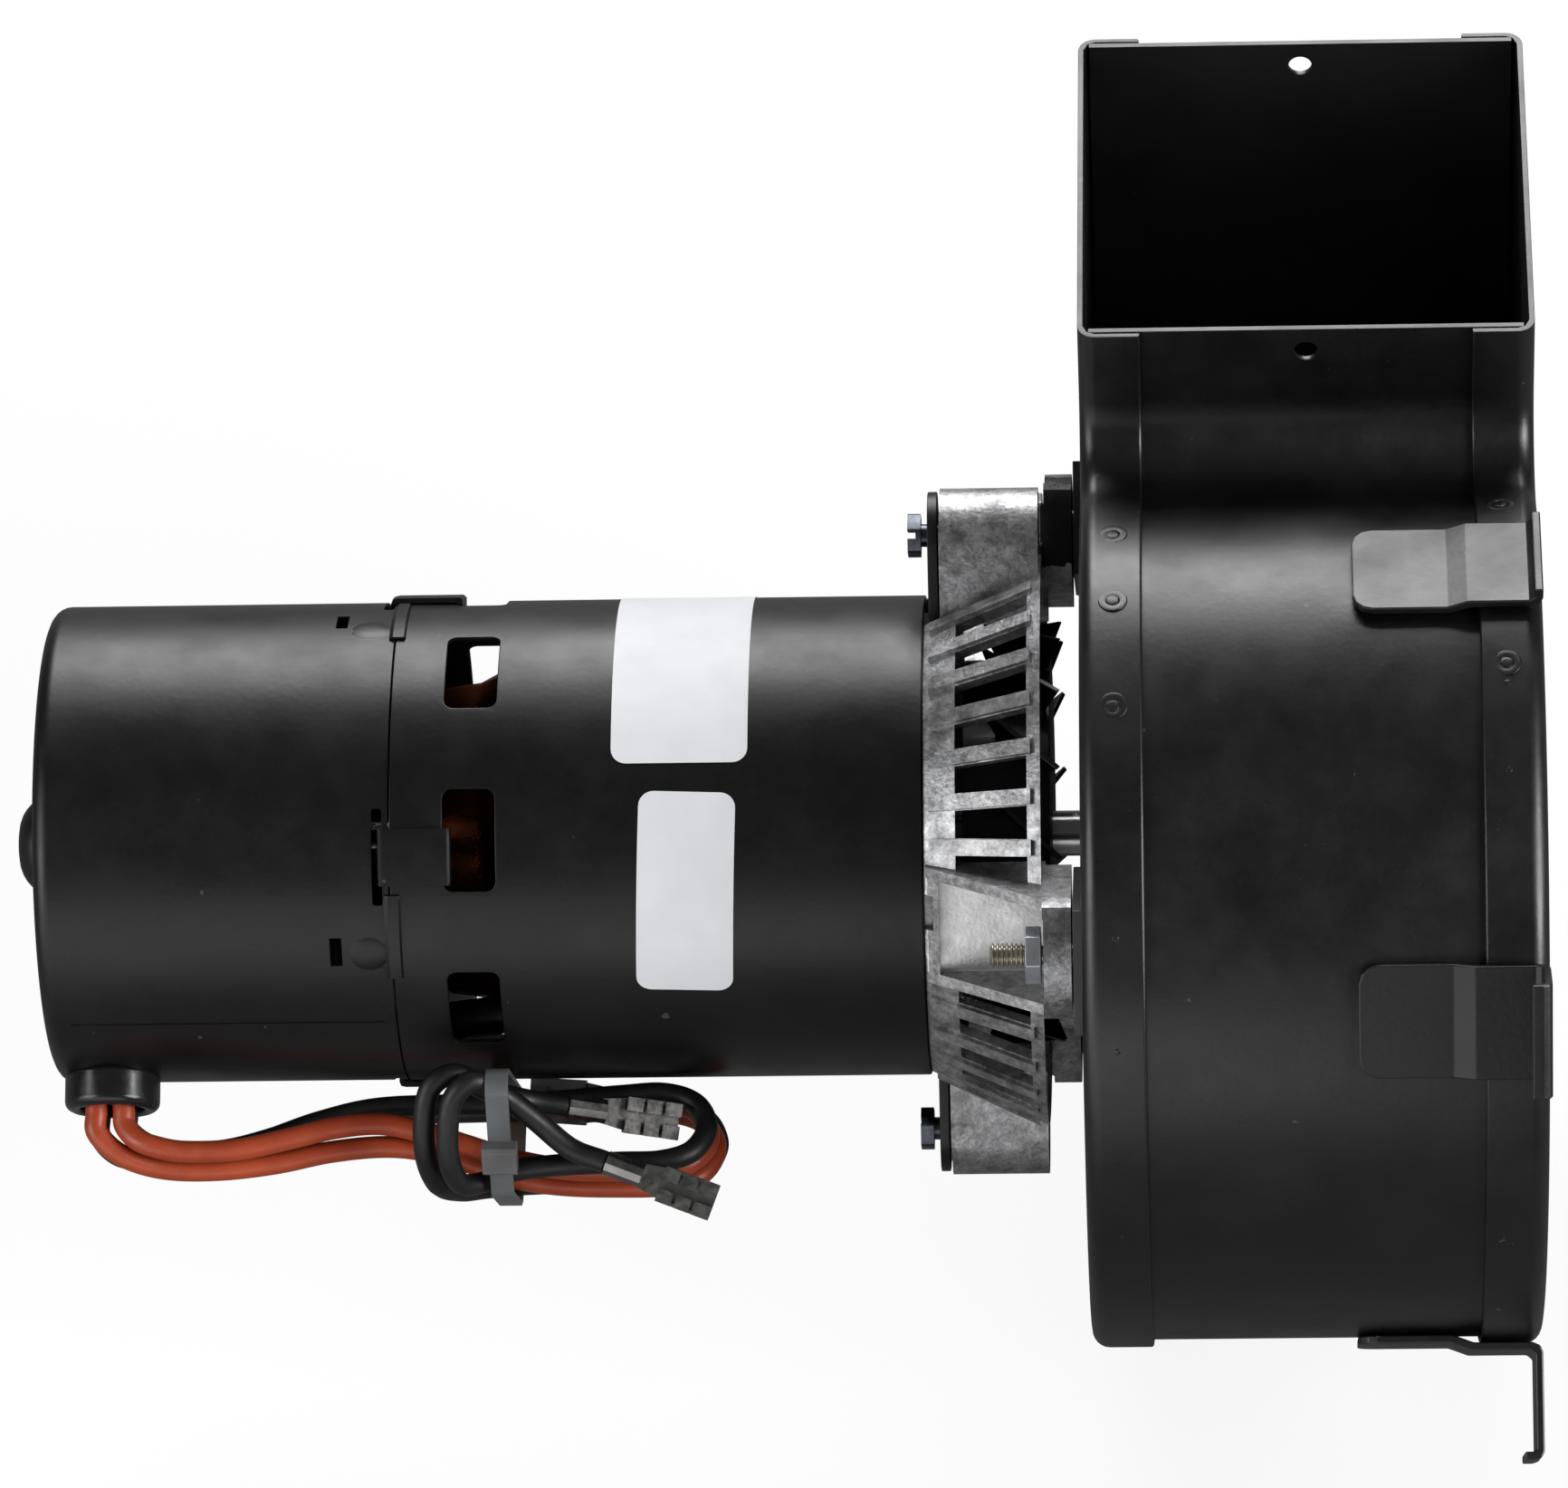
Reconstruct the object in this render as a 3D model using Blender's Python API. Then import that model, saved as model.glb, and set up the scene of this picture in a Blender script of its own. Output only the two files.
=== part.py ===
"""Combustion fan: a scroll blower driven by a 3.3 inch frame motor on a die-cast cage bracket.

The shaft lies along X. The inlet plate's outer face is the plane X = 0, and the blower blows
towards +Z. An angle called turn is measured round the shaft from -Y towards +Z, in degrees.
Dimensions are in millimetres, and meshes are written in metres.
"""

import math

import bmesh
import bpy
from mathutils import Matrix, Vector

for old in list(bpy.data.objects):
    bpy.data.objects.remove(old, do_unlink=True)

MM = 0.001
GAP = 0.3

# Motor
MOTOR_R = 41.9
SHEET = 1.1
SHELL_REAR = -196.8
SHELL_FRONT = -105.7
SIDES = 40
WINDOW_COUNT = 8
WINDOW_X = -183.2
WINDOW_LONG = 9.0
WINDOW_WIDE = 17.5
WINDOW_CORNER = 1.6
THROUGH_WALL = (30.0, 50.0)
CAP_REAR = -258.5
CAP_CORNER = 3.0
HUB_TIP = -265.3
HUB_R = 9.0
CLIP_TURNS = (41.2, 131.2, 221.2, 311.2)
CLIP_WIDE = 9.6
CLIP_THICK = 1.0
CLIP_ROOT = 6.0
CLIP_RAMP = 3.0
CAP_SLOT_TURNS = (18.0, 111.0)
CAP_SLOT_X = (-207.6, -205.5)
CAP_SLOT_WIDE = 5.4
RELIEF_TURN = -33.0
RELIEF_X = -248.5
RELIEF_R = 8.3
RELIEF_LIP = 1.6
RELIEF_STAND = 0.7
RELIEF_TALL = 5.0
SHAFT_R = 3.97
SHAFT_ENDS = (-261.0, -48.0)
CORE_ENDS = (-174.0, -126.0)
CORE_BORE = 22.3
ROTOR_R = 21.5

# Bracket cage
CAGE_LEFT = -105.4
CAGE_RIGHT = -85.2
CAGE_R_LEFT = 41.4
CAGE_R_RIGHT = 51.0
CAGE_WALL = 2.2
SLOT_ENDS = (-99.9, -87.5)
SLOT_PITCH = 10.0
SLOT_FIRST = 47.2
RIB_WIDE = 3.0
RIB_PROUD = 0.9
EAR_TURNS = (117.0, -63.0)
EAR_BOLT_R = 54.5
EAR_END_R = 7.6
EAR_SCREW_R = 2.0
EAR_SCREW_TIP = -90.0
EAR_SCREW_STAND = 1.2
EAR_HEAD_TALL = 2.3
EAR_HEAD_ACROSS = 7.0
EAR_SLOT_TURNS = (45.0, 70.0)
FOOT_TURNS = (23.2, 143.2, 263.2)
FOOT_BOLT_R = 55.5
FOOT_WIDE = 22.0
FOOT_END_X = -80.1
FOOT_REACH = 63.5
FOOT_ROUND = 7.0
FOOT_SCREW_R = 2.1
FOOT_SCREW_TIP = -94.0
NUT_ACROSS = 8.7
NUT_TALL = 2.7
EAR_SHEET = (-104.7, -103.0)

# Blower
HOUSING_BACK = -78.2
SCROLL_R0 = 61.5
SCROLL_GROWTH = 9.1
TONGUE_TURN = 125.0
FRONT_WALL_Y = 34.0
BACK_WALL_Y = 110.0
MOUTH_Z = 87.0
TONGUE_FILLET = 11.0
PLATE = 1.0
FLANGE = 10.7
SHAFT_HOLE_R = 6.5
LIP_HOLE_R = 2.05
LIP_HOLE_X = -39.1
INLET_R = 36.0
WHEEL_R = 54.0
WHEEL_ENDS = (-71.0, -7.0)
BLADE_COUNT = 36
TAB_TURNS = (84.0, 21.0, -45.0, -112.5, -180.0)
TAB_WIDE = 20.0
TAB_THICK = 1.4
TAB_FEET = (5.4, 13.5, 22.0, 22.0, 22.0)
TAB_HOOKED = 10.0

# Cooling fan
FAN_BLADES = 15
FAN_TIP_R = 36.5
FAN_DRUM_R = 30.5
FAN_DRUM = (-99.0, -84.0)
FAN_WALL = 1.6
FAN_FLOOR = 2.0
FAN_HUB_R = 8.0
FAN_THICK = 0.9
FAN_X = -88.9
FAN_HALF_CHORD = (5.0, 9.0)
FAN_PITCH = 47.6

# Leads
LEAD_D = 3.9


def finish_material(name, colour, roughness, metallic):
    """A Principled material of one colour."""
    material = bpy.data.materials.new(name)
    material.use_nodes = True
    shader = material.node_tree.nodes["Principled BSDF"]
    shader.inputs["Base Color"].default_value = (*colour, 1.0)
    shader.inputs["Roughness"].default_value = roughness
    shader.inputs["Metallic"].default_value = metallic
    return material


BLACK_PAINT = finish_material("black_paint", (0.011, 0.011, 0.012), 0.42, 0.0)
CAST = finish_material("cast_aluminium", (0.55, 0.56, 0.58), 0.42, 1.0)
STEEL = finish_material("bright_steel", (0.6, 0.6, 0.6), 0.3, 1.0)
LAMINATION = finish_material("lamination_steel", (0.2, 0.2, 0.21), 0.5, 1.0)
COPPER = finish_material("enamelled_copper", (0.5, 0.19, 0.07), 0.35, 1.0)
BLACK_PLASTIC = finish_material("black_nylon", (0.014, 0.014, 0.015), 0.35, 0.0)
BROWN_BOARD = finish_material("switch_board", (0.12, 0.06, 0.03), 0.6, 0.0)
ORANGE = finish_material("orange_silicone", (0.72, 0.13, 0.035), 0.45, 0.0)
BLACK_LEAD = finish_material("black_silicone", (0.02, 0.02, 0.021), 0.45, 0.0)
GREY_NYLON = finish_material("grey_nylon", (0.3, 0.3, 0.3), 0.4, 0.0)
BRONZE = finish_material("bearing_bronze", (0.45, 0.3, 0.15), 0.4, 1.0)


def axis_empty(name, place=(0.0, 0.0, 0.0)):
    """An empty that marks a joint's axis."""
    empty = bpy.data.objects.new(name, None)
    empty.location = Vector(place) * MM
    bpy.context.scene.collection.objects.link(empty)
    return empty


HOUSING = axis_empty("housing_frame")
ROTOR = axis_empty("rotor_axis")


SHARP_EDGE = math.radians(35.0)


def solid(name, bm, material, parent=HOUSING):
    """One named object from a mesh in millimetres."""
    bmesh.ops.recalc_face_normals(bm, faces=bm.faces)
    if bm.calc_volume(signed=True) < 0.0:
        bmesh.ops.reverse_faces(bm, faces=bm.faces)
    bm.transform(Matrix.Scale(MM, 4))
    mesh = bpy.data.meshes.new(name)
    bm.to_mesh(mesh)
    bm.free()
    mesh.shade_smooth()
    mesh.set_sharp_from_angle(angle=SHARP_EDGE)
    if material:
        mesh.materials.append(material)
    obj = bpy.data.objects.new(name, mesh)
    obj.parent = parent
    bpy.context.scene.collection.objects.link(obj)
    return obj


def helper(bm, parent=HOUSING):
    """A cutter or a piece to be joined, which isn't part of the object by itself."""
    obj = solid("helper", bm, None, parent)
    obj.hide_render = True
    obj.display_type = "WIRE"
    return obj


def combine(obj, operation, *helpers):
    """Boolean modifiers that cut or join the helpers, in order."""
    for other in helpers:
        modifier = obj.modifiers.new(operation.lower(), "BOOLEAN")
        modifier.operation = operation
        modifier.object = other


def joined(*meshes):
    """One mesh from several that don't touch."""
    whole = bmesh.new()
    for bm in meshes:
        part = bpy.data.meshes.new("piece")
        bm.to_mesh(part)
        bm.free()
        whole.from_mesh(part)
        bpy.data.meshes.remove(part)
    return whole


def moved(bm, matrix):
    bm.transform(matrix)
    return bm


def at_turn(turn):
    """The rotation that takes local +Z to the angle turn."""
    return Matrix.Rotation(math.radians(90.0 - turn), 4, "X")


def turned(profile, sides=SIDES):
    """A closed outline of (x, radius) points spun round the shaft line."""
    bm = bmesh.new()
    points = [bm.verts.new((x, 0.0, r)) for x, r in profile]
    pairs = list(zip(points, points[1:]))
    if profile[0][1] > 0.0 or profile[-1][1] > 0.0:
        pairs.append((points[-1], points[0]))
    edges = [bm.edges.new(pair) for pair in pairs]
    bmesh.ops.spin(bm, geom=points + edges, axis=(1.0, 0.0, 0.0), angle=math.tau, steps=sides, use_merge=True)
    bmesh.ops.remove_doubles(bm, verts=bm.verts, dist=1e-4)
    return bm


def tube(x0, x1, inner, outer, sides=SIDES):
    return turned([(x0, inner), (x0, outer), (x1, outer), (x1, inner)], sides)


def rod(x0, x1, radius, sides=24):
    return turned([(x0, 0.0), (x0, radius), (x1, radius), (x1, 0.0)], sides)


def prism(outline, direction):
    """A flat outline of 3D points pushed along a vector."""
    bm = bmesh.new()
    face = bm.faces.new([bm.verts.new(point) for point in outline])
    pushed = bmesh.ops.extrude_face_region(bm, geom=[face])
    verts = [item for item in pushed["geom"] if isinstance(item, bmesh.types.BMVert)]
    bmesh.ops.translate(bm, vec=direction, verts=verts)
    return bm


def block(x, y, z):
    """A box given by its (low, high) limits on each axis."""
    outline = [(x[0], y[0], z[0]), (x[1], y[0], z[0]), (x[1], y[1], z[0]), (x[0], y[1], z[0])]
    return prism(outline, (0.0, 0.0, z[1] - z[0]))


def softened(bm, width, along, segments=2):
    """Bevels the edges that run along the given axis (0, 1 or 2)."""
    edges = []
    for edge in bm.edges:
        run = (edge.verts[1].co - edge.verts[0].co).normalized()
        if abs(run[along]) > 0.99:
            edges.append(edge)
    bmesh.ops.bevel(bm, geom=edges, offset=width, segments=segments, profile=0.5, affect="EDGES")
    return bm


def rounded_bar(x, half_width, low, end_r, high):
    """A bar along X whose outer end, up Z, is round: for bosses, ears and feet."""
    arc = []
    for step in range(9):
        angle = math.pi * step / 8
        arc.append((x[0], half_width * math.cos(angle), high - end_r + end_r * math.sin(angle)))
    return prism(arc + [(x[0], -half_width, low), (x[0], half_width, low)], (x[1] - x[0], 0.0, 0.0))


# Motor shell with its ring of vent windows
shell = solid("motor_shell", tube(SHELL_REAR, SHELL_FRONT, MOTOR_R - SHEET, MOTOR_R), BLACK_PAINT)
windows = []
for index in range(WINDOW_COUNT):
    window = block((-WINDOW_LONG / 2, WINDOW_LONG / 2), (-WINDOW_WIDE / 2, WINDOW_WIDE / 2), THROUGH_WALL)
    window = softened(window, WINDOW_CORNER, 2)
    place = at_turn(360.0 * index / WINDOW_COUNT) @ Matrix.Translation((WINDOW_X, 0.0, 0.0))
    windows.append(moved(window, place))
combine(shell, "DIFFERENCE", helper(joined(*windows)))


def end_cap_profile():
    """Drawn cup with a rounded rim and a hub that holds the rear bearing."""
    outer = MOTOR_R - 0.1
    face = CAP_REAR + SHEET
    points = [(SHELL_REAR - GAP, outer - SHEET), (SHELL_REAR - GAP, outer)]
    for step in range(4):
        angle = math.radians(90.0 + 30.0 * step)
        points.append((CAP_REAR + CAP_CORNER + CAP_CORNER * math.cos(angle),
                       outer - CAP_CORNER + CAP_CORNER * math.sin(angle)))
    points += [(CAP_REAR, HUB_R + 1.5), (CAP_REAR - 1.2, HUB_R)]
    points += [(HUB_TIP + 3.2, HUB_R - 0.8), (HUB_TIP + 0.9, HUB_R - 3.2), (HUB_TIP, 0.0)]
    points += [(HUB_TIP + SHEET, 0.0), (HUB_TIP + 2.4, HUB_R - 3.4), (HUB_TIP + 4.0, HUB_R - 1.8)]
    points += [(face, HUB_R - 1.5), (face, outer - CAP_CORNER), (face + 1.9, outer - SHEET)]
    return points


def clip(turn):
    """A tab of the cap that laps over the shell and hooks into the near edge of a window."""
    top = MOTOR_R + GAP + CLIP_THICK
    lap = MOTOR_R + GAP
    hook = WINDOW_X - WINDOW_LONG / 2 + GAP
    low = lap - 1.2
    tip = lap - 3.0
    edge = SHELL_REAR - GAP
    outline = [(SHELL_REAR - CLIP_ROOT, low + CLIP_THICK - 0.2), (SHELL_REAR - CLIP_RAMP, top)]
    outline += [(hook + CLIP_THICK, top), (hook + CLIP_THICK, tip), (hook, tip), (hook, lap)]
    outline += [(edge, lap), (edge, low), (SHELL_REAR - CLIP_ROOT, low)]
    bar = prism([(x, -CLIP_WIDE / 2, z) for x, z in outline], (0.0, CLIP_WIDE, 0.0))
    return moved(bar, at_turn(turn))


cap = solid("motor_end_cap", turned(end_cap_profile()), BLACK_PAINT)
combine(cap, "UNION", helper(joined(*[clip(turn) for turn in CLIP_TURNS])))
cap_slot_span = (-CAP_SLOT_WIDE / 2, CAP_SLOT_WIDE / 2)
cap_cuts = [moved(block(CAP_SLOT_X, cap_slot_span, THROUGH_WALL), at_turn(turn)) for turn in CAP_SLOT_TURNS]
relief_hole = moved(rod(*THROUGH_WALL, RELIEF_R - RELIEF_LIP, 20), Matrix.Rotation(-math.pi / 2, 4, "Y"))
relief_place = at_turn(RELIEF_TURN) @ Matrix.Translation((RELIEF_X, 0.0, 0.0))
cap_cuts.append(moved(relief_hole, relief_place))
combine(cap, "DIFFERENCE", helper(joined(*cap_cuts)))


def relief_profile():
    """Snap-in bushing: a collar inside the cap, a neck in its hole and a rounded head outside."""
    neck = RELIEF_R - RELIEF_LIP - GAP
    inside = MOTOR_R - SHEET - 3.0
    outside = MOTOR_R + RELIEF_STAND
    face = outside + RELIEF_TALL
    return [(inside, 0.0), (inside, neck), (outside, neck), (outside, RELIEF_R), (face - 1.4, RELIEF_R),
            (face, RELIEF_R - 1.2), (face, 0.0)]


bushing = moved(turned(relief_profile(), 20), relief_place @ Matrix.Rotation(-math.pi / 2, 4, "Y"))
solid("strain_relief", bushing, BLACK_PLASTIC)

# Motor inside: end shield with its ears, bearings, core, windings
SHIELD_R = 40.4
SHIELD_RIM = -113.0
BEARING_SEAT_R = 11.3
shield_edge = SHELL_FRONT - GAP
shield_profile = [(-112.0, BEARING_SEAT_R), (-112.0, 14.0), (-107.6, 14.0), (-107.6, SHIELD_R - 1.2)]
shield_profile += [(SHIELD_RIM, SHIELD_R - 1.2), (SHIELD_RIM, SHIELD_R), (shield_edge, SHIELD_R)]
shield_profile += [(shield_edge, SHIELD_R - 1.6), (EAR_SHEET[1], SHIELD_R - 1.6)]
shield_profile += [(EAR_SHEET[1], BEARING_SEAT_R)]


def bolt_hole(turn, radius, place_r, x):
    """A cutter along the shaft's direction, at a radius from it."""
    return moved(rod(x[0], x[1], radius, 12), at_turn(turn) @ Matrix.Translation((0.0, 0.0, place_r)))


def ear_hole(turn):
    return bolt_hole(turn, EAR_SCREW_R + GAP, EAR_BOLT_R, (-120.0, EAR_SCREW_TIP + 2.0))


shield = solid("front_end_shield", turned(shield_profile, 32), BLACK_PAINT)
ears = [moved(rounded_bar(EAR_SHEET, EAR_END_R, 30.0, EAR_END_R, EAR_BOLT_R + EAR_END_R), at_turn(turn))
        for turn in EAR_TURNS]
combine(shield, "UNION", helper(joined(*ears)))
combine(shield, "DIFFERENCE", helper(joined(*[ear_hole(turn) for turn in EAR_TURNS])))

solid("front_bearing", tube(-111.6, -103.4, SHAFT_R + GAP, BEARING_SEAT_R - GAP, 32), BRONZE)
solid("rear_bearing", tube(-260.4, -252.0, SHAFT_R + GAP, 6.9, 24), BRONZE)
solid("stator_core", tube(*CORE_ENDS, CORE_BORE, MOTOR_R - SHEET - 0.4), LAMINATION)


def end_turns(root, tip):
    """Outline of the copper that stands out of the core, from its root to its rounded tip."""
    shape = [(0.0, 23.6), (0.0, 34.8), (0.15, 34.4), (0.35, 29.4), (0.55, 27.6), (0.88, 26.8), (1.0, 25.4),
             (1.0, 24.2), (0.9, 23.4)]
    return turned([(root + share * (tip - root), r) for share, r in shape], 24)


solid("winding_rear", end_turns(CORE_ENDS[0] - 0.4, -191.6), COPPER)
solid("winding_front", end_turns(CORE_ENDS[1] + 0.4, -114.5), COPPER)


# Bracket cage
def cage_r(x):
    """Outer radius of the cone at a place along the shaft."""
    share = (x - CAGE_LEFT) / (CAGE_RIGHT - CAGE_LEFT)
    return CAGE_R_LEFT + share * (CAGE_R_RIGHT - CAGE_R_LEFT)


def apart(first, second):
    """Degrees between two angles round the shaft."""
    return abs((first - second + 180.0) % 360.0 - 180.0)


def clear_of(turns, turn, least):
    """True where an angle is further than the least from every one of the turns."""
    return min(apart(turn, other) for other in turns) > least


FOOT_CLEAR = 10.0
FOOT_RIB_CLEAR = 13.5
EAR_CLEAR = 14.0
pitches = [SLOT_FIRST + SLOT_PITCH * index for index in range(round(360.0 / SLOT_PITCH))]
slot_turns = [turn for turn in pitches
              if clear_of(FOOT_TURNS, turn, FOOT_CLEAR) and clear_of(EAR_TURNS, turn, EAR_CLEAR)]
beside_slots = {(turn + side * SLOT_PITCH / 2) % 360.0 for turn in slot_turns for side in (-1, 1)}
rib_turns = [turn for turn in sorted(beside_slots) if clear_of(FOOT_TURNS, turn, FOOT_RIB_CLEAR)]


def cage_slot(turn):
    """A cutter for one gap, which widens with the cone so that the ribs stay parallel."""
    half = [cage_r(x) * math.tan(math.radians(SLOT_PITCH / 2)) - RIB_WIDE / 2 for x in SLOT_ENDS]
    outline = [(SLOT_ENDS[0], -half[0], 36.0), (SLOT_ENDS[1], -half[1], 36.0),
               (SLOT_ENDS[1], half[1], 36.0), (SLOT_ENDS[0], half[0], 36.0)]
    return moved(prism(outline, (0.0, 0.0, 24.0)), at_turn(turn))


def cage_rib(turn):
    """A raised bar along the outside of the cone."""
    left, right = CAGE_LEFT + 0.9, SLOT_ENDS[1] + 0.6
    half = RIB_WIDE / 2 - 0.15
    outline = [(left, -half, cage_r(left) - 1.0), (left, -half, cage_r(left) + RIB_PROUD),
               (right, -half, cage_r(right) + RIB_PROUD), (right, -half, cage_r(right) - 1.0)]
    return moved(prism(outline, (0.0, 2 * half, 0.0)), at_turn(turn))


POCKET_HALF = 10.6
POCKET_WALL = 2.0
POCKET_BASE = 39.3
POCKET_FLOOR = 41.3
POCKET_RISE = 57.0
FOOT_LOW = 41.9
NUT_FACE = -85.0


def foot_wedge(turn):
    """The gussets beside a foot's pocket, solid until the niche is cut."""
    left, right = CAGE_LEFT + 0.3, NUT_FACE + 0.4
    outline = [(left, POCKET_BASE), (left, CAGE_R_LEFT), (right, POCKET_RISE), (right, POCKET_BASE)]
    wedge = prism([(x, -POCKET_HALF, z) for x, z in outline], (0.0, 2 * POCKET_HALF, 0.0))
    return moved(wedge, at_turn(turn))


def foot_pad(turn):
    pad = rounded_bar((NUT_FACE, FOOT_END_X), FOOT_WIDE / 2, FOOT_LOW, FOOT_ROUND, FOOT_REACH)
    return moved(pad, at_turn(turn))


def foot_niche(turn):
    half = POCKET_HALF - POCKET_WALL
    niche = block((CAGE_LEFT + 2.5, NUT_FACE + 0.2), (-half, half), (POCKET_FLOOR, FOOT_REACH + 6.0))
    return moved(niche, at_turn(turn))


cone = [(CAGE_LEFT, CAGE_R_LEFT - CAGE_WALL), (CAGE_LEFT, CAGE_R_LEFT), (CAGE_RIGHT, CAGE_R_RIGHT),
        (CAGE_RIGHT, CAGE_R_RIGHT - CAGE_WALL)]
bracket = solid("motor_bracket", turned(cone, 72), CAST)
bosses = [moved(rounded_bar((EAR_SHEET[1] + GAP, CAGE_RIGHT - 0.4), 8.8, 41.0, 8.4, 62.6), at_turn(turn))
          for turn in EAR_TURNS]
combine(bracket, "DIFFERENCE", helper(joined(*[cage_slot(turn) for turn in slot_turns])))
for pieces in (bosses, [foot_wedge(turn) for turn in FOOT_TURNS], [foot_pad(turn) for turn in FOOT_TURNS]):
    combine(bracket, "UNION", helper(joined(*pieces)))
niches = [foot_niche(turn) for turn in FOOT_TURNS]
foot_hole_r = FOOT_SCREW_R + GAP + 0.1
foot_hole_x = (NUT_FACE - 1.0, HOUSING_BACK + 3.0)
foot_holes = [bolt_hole(turn, foot_hole_r, FOOT_BOLT_R, foot_hole_x) for turn in FOOT_TURNS]
ear_room_x = (CAGE_LEFT - 1.0, EAR_SHEET[1] + GAP + 0.1)
ear_room_y = (-EAR_END_R - GAP, EAR_END_R + GAP)
ear_rooms = [moved(block(ear_room_x, ear_room_y, (36.0, 66.0)), at_turn(turn)) for turn in EAR_TURNS]
ear_holes = [ear_hole(turn) for turn in EAR_TURNS]
for cuts in (niches, foot_holes, ear_rooms, ear_holes):
    combine(bracket, "DIFFERENCE", helper(joined(*cuts)))
combine(bracket, "UNION", helper(joined(*[cage_rib(turn) for turn in rib_turns])))


def hexagon(x0, x1, across):
    return rod(x0, x1, across / math.sqrt(3.0), 6)


for number, turn in enumerate(EAR_TURNS, 1):
    place = at_turn(turn) @ Matrix.Translation((0.0, 0.0, EAR_BOLT_R))
    head_x = EAR_SHEET[0] - EAR_SCREW_STAND
    crown_x = head_x - EAR_HEAD_TALL
    shank = rod(head_x - 0.5, EAR_SCREW_TIP, EAR_SCREW_R, 16)
    body = solid(f"ear_screw_{number}", moved(shank, place), STEEL)
    head = softened(hexagon(crown_x, head_x, EAR_HEAD_ACROSS), 0.4, 0, 1)
    combine(body, "UNION", helper(moved(head, place)))
    slot = block((crown_x - 1.0, crown_x + 1.4), (-0.6, 0.6), (-EAR_HEAD_ACROSS, EAR_HEAD_ACROSS))
    slot_place = Matrix.Translation(place.translation) @ at_turn(EAR_SLOT_TURNS[number - 1])
    combine(body, "DIFFERENCE", helper(moved(slot, slot_place)))

for number, turn in enumerate(FOOT_TURNS, 1):
    place = at_turn(turn) @ Matrix.Translation((0.0, 0.0, FOOT_BOLT_R))
    head_x = HOUSING_BACK + PLATE + GAP
    tip_x = FOOT_SCREW_TIP
    shank = [(tip_x, 0.0), (tip_x, FOOT_SCREW_R - 0.4), (tip_x + 0.5, FOOT_SCREW_R), (head_x, FOOT_SCREW_R)]
    crown = [(head_x, 4.1), (head_x + 1.6, 3.6), (head_x + 2.4, 2.0), (head_x + 2.4, 0.0)]
    solid(f"foot_screw_{number}", moved(turned(shank + crown, 16), place), STEEL)
    nut_x = NUT_FACE - GAP
    nut = solid(f"foot_nut_{number}", moved(hexagon(nut_x - NUT_TALL, nut_x, NUT_ACROSS), place), STEEL)
    thread = rod(nut_x - NUT_TALL - 1.0, nut_x + 1.0, FOOT_SCREW_R + GAP, 16)
    combine(nut, "DIFFERENCE", helper(moved(thread, place)))


# Blower housing
def scroll_r(turn):
    return SCROLL_R0 + SCROLL_GROWTH * math.radians(TONGUE_TURN - turn)


def radial(turn):
    angle = math.radians(turn)
    return Vector((0.0, -math.cos(angle), math.sin(angle)))


def scroll_normal(turn):
    """Outward normal of the spiral, which leans a little from the radius."""
    angle = math.radians(turn)
    sweep = Vector((0.0, math.sin(angle), math.cos(angle)))
    return (radial(turn) * scroll_r(turn) + sweep * SCROLL_GROWTH).normalized()


def scroll_point(turn, out):
    return radial(turn) * scroll_r(turn) + scroll_normal(turn) * out


def fillet_turn():
    """Where the tongue's fillet meets the spiral: its centre is the fillet's radius from the front wall."""
    low, high = 80.0, TONGUE_TURN
    for _ in range(40):
        middle = (low + high) / 2
        if scroll_point(middle, TONGUE_FILLET).y < FRONT_WALL_Y - TONGUE_FILLET:
            low = middle
        else:
            high = middle
    return low


SCROLL_STEPS = 36
FILLET_STEPS = 6
FILLET_TURN = fillet_turn()


def casing_path(out):
    """(y, z) points of the outline from the front lip round to the back lip, moved outwards."""
    centre = scroll_point(FILLET_TURN, TONGUE_FILLET)
    radius = TONGUE_FILLET - out
    points = [(FRONT_WALL_Y - out, MOUTH_Z)]
    normal = scroll_normal(FILLET_TURN)
    last = math.atan2(-normal.z, -normal.y)
    for step in range(FILLET_STEPS):
        angle = last * step / FILLET_STEPS
        points.append((centre.y + radius * math.cos(angle), centre.z + radius * math.sin(angle)))
    for step in range(SCROLL_STEPS + 1):
        turn = FILLET_TURN - (FILLET_TURN + 180.0) * step / SCROLL_STEPS
        point = scroll_point(turn, out)
        points.append((point.y, point.z))
    points[-1] = (BACK_WALL_Y + out, 0.0)
    points.append((BACK_WALL_Y + out, MOUTH_Z))
    return points


def swept(section):
    """A section of (out, x) points carried along the casing's path, closed by flat plates."""
    bm = bmesh.new()
    rings = [[bm.verts.new((x, y, z)) for y, z in casing_path(out)] for out, x in section]
    for ring, following in zip(rings, rings[1:]):
        for index in range(len(ring) - 1):
            bm.faces.new((ring[index], ring[index + 1], following[index + 1], following[index]))
    bm.faces.new(rings[0])
    bm.faces.new(rings[-1][::-1])
    for end in (0, -1):
        bm.faces.new([ring[end] for ring in rings])
    bm.faces.new((rings[0][0], rings[0][-1], rings[-1][-1], rings[-1][0]))
    return bm


def pan(face, inward):
    """Section of a pressed side plate: flat, rounded corner, then a flange over the wrapper."""
    lap = PLATE + GAP
    return [(lap - 2.4, face), (lap - 0.7, face + 0.7 * inward), (lap, face + 2.4 * inward),
            (lap, face + FLANGE * inward), (GAP, face + FLANGE * inward), (GAP, face + 2.0 * inward),
            (lap - 1.9, face + PLATE * inward)]


def wrapper():
    bm = bmesh.new()
    ends = (HOUSING_BACK + 1.9, -1.9)
    rings = [[bm.verts.new((x, y, z)) for y, z in casing_path(out)]
             for out, x in ((0.0, ends[0]), (0.0, ends[1]), (-PLATE, ends[1]), (-PLATE, ends[0]))]
    for ring, following in zip(rings, rings[1:] + rings[:1]):
        for index in range(len(ring) - 1):
            bm.faces.new((ring[index], ring[index + 1], following[index + 1], following[index]))
    for end in (0, -1):
        bm.faces.new([ring[end] for ring in rings])
    return bm


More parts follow.
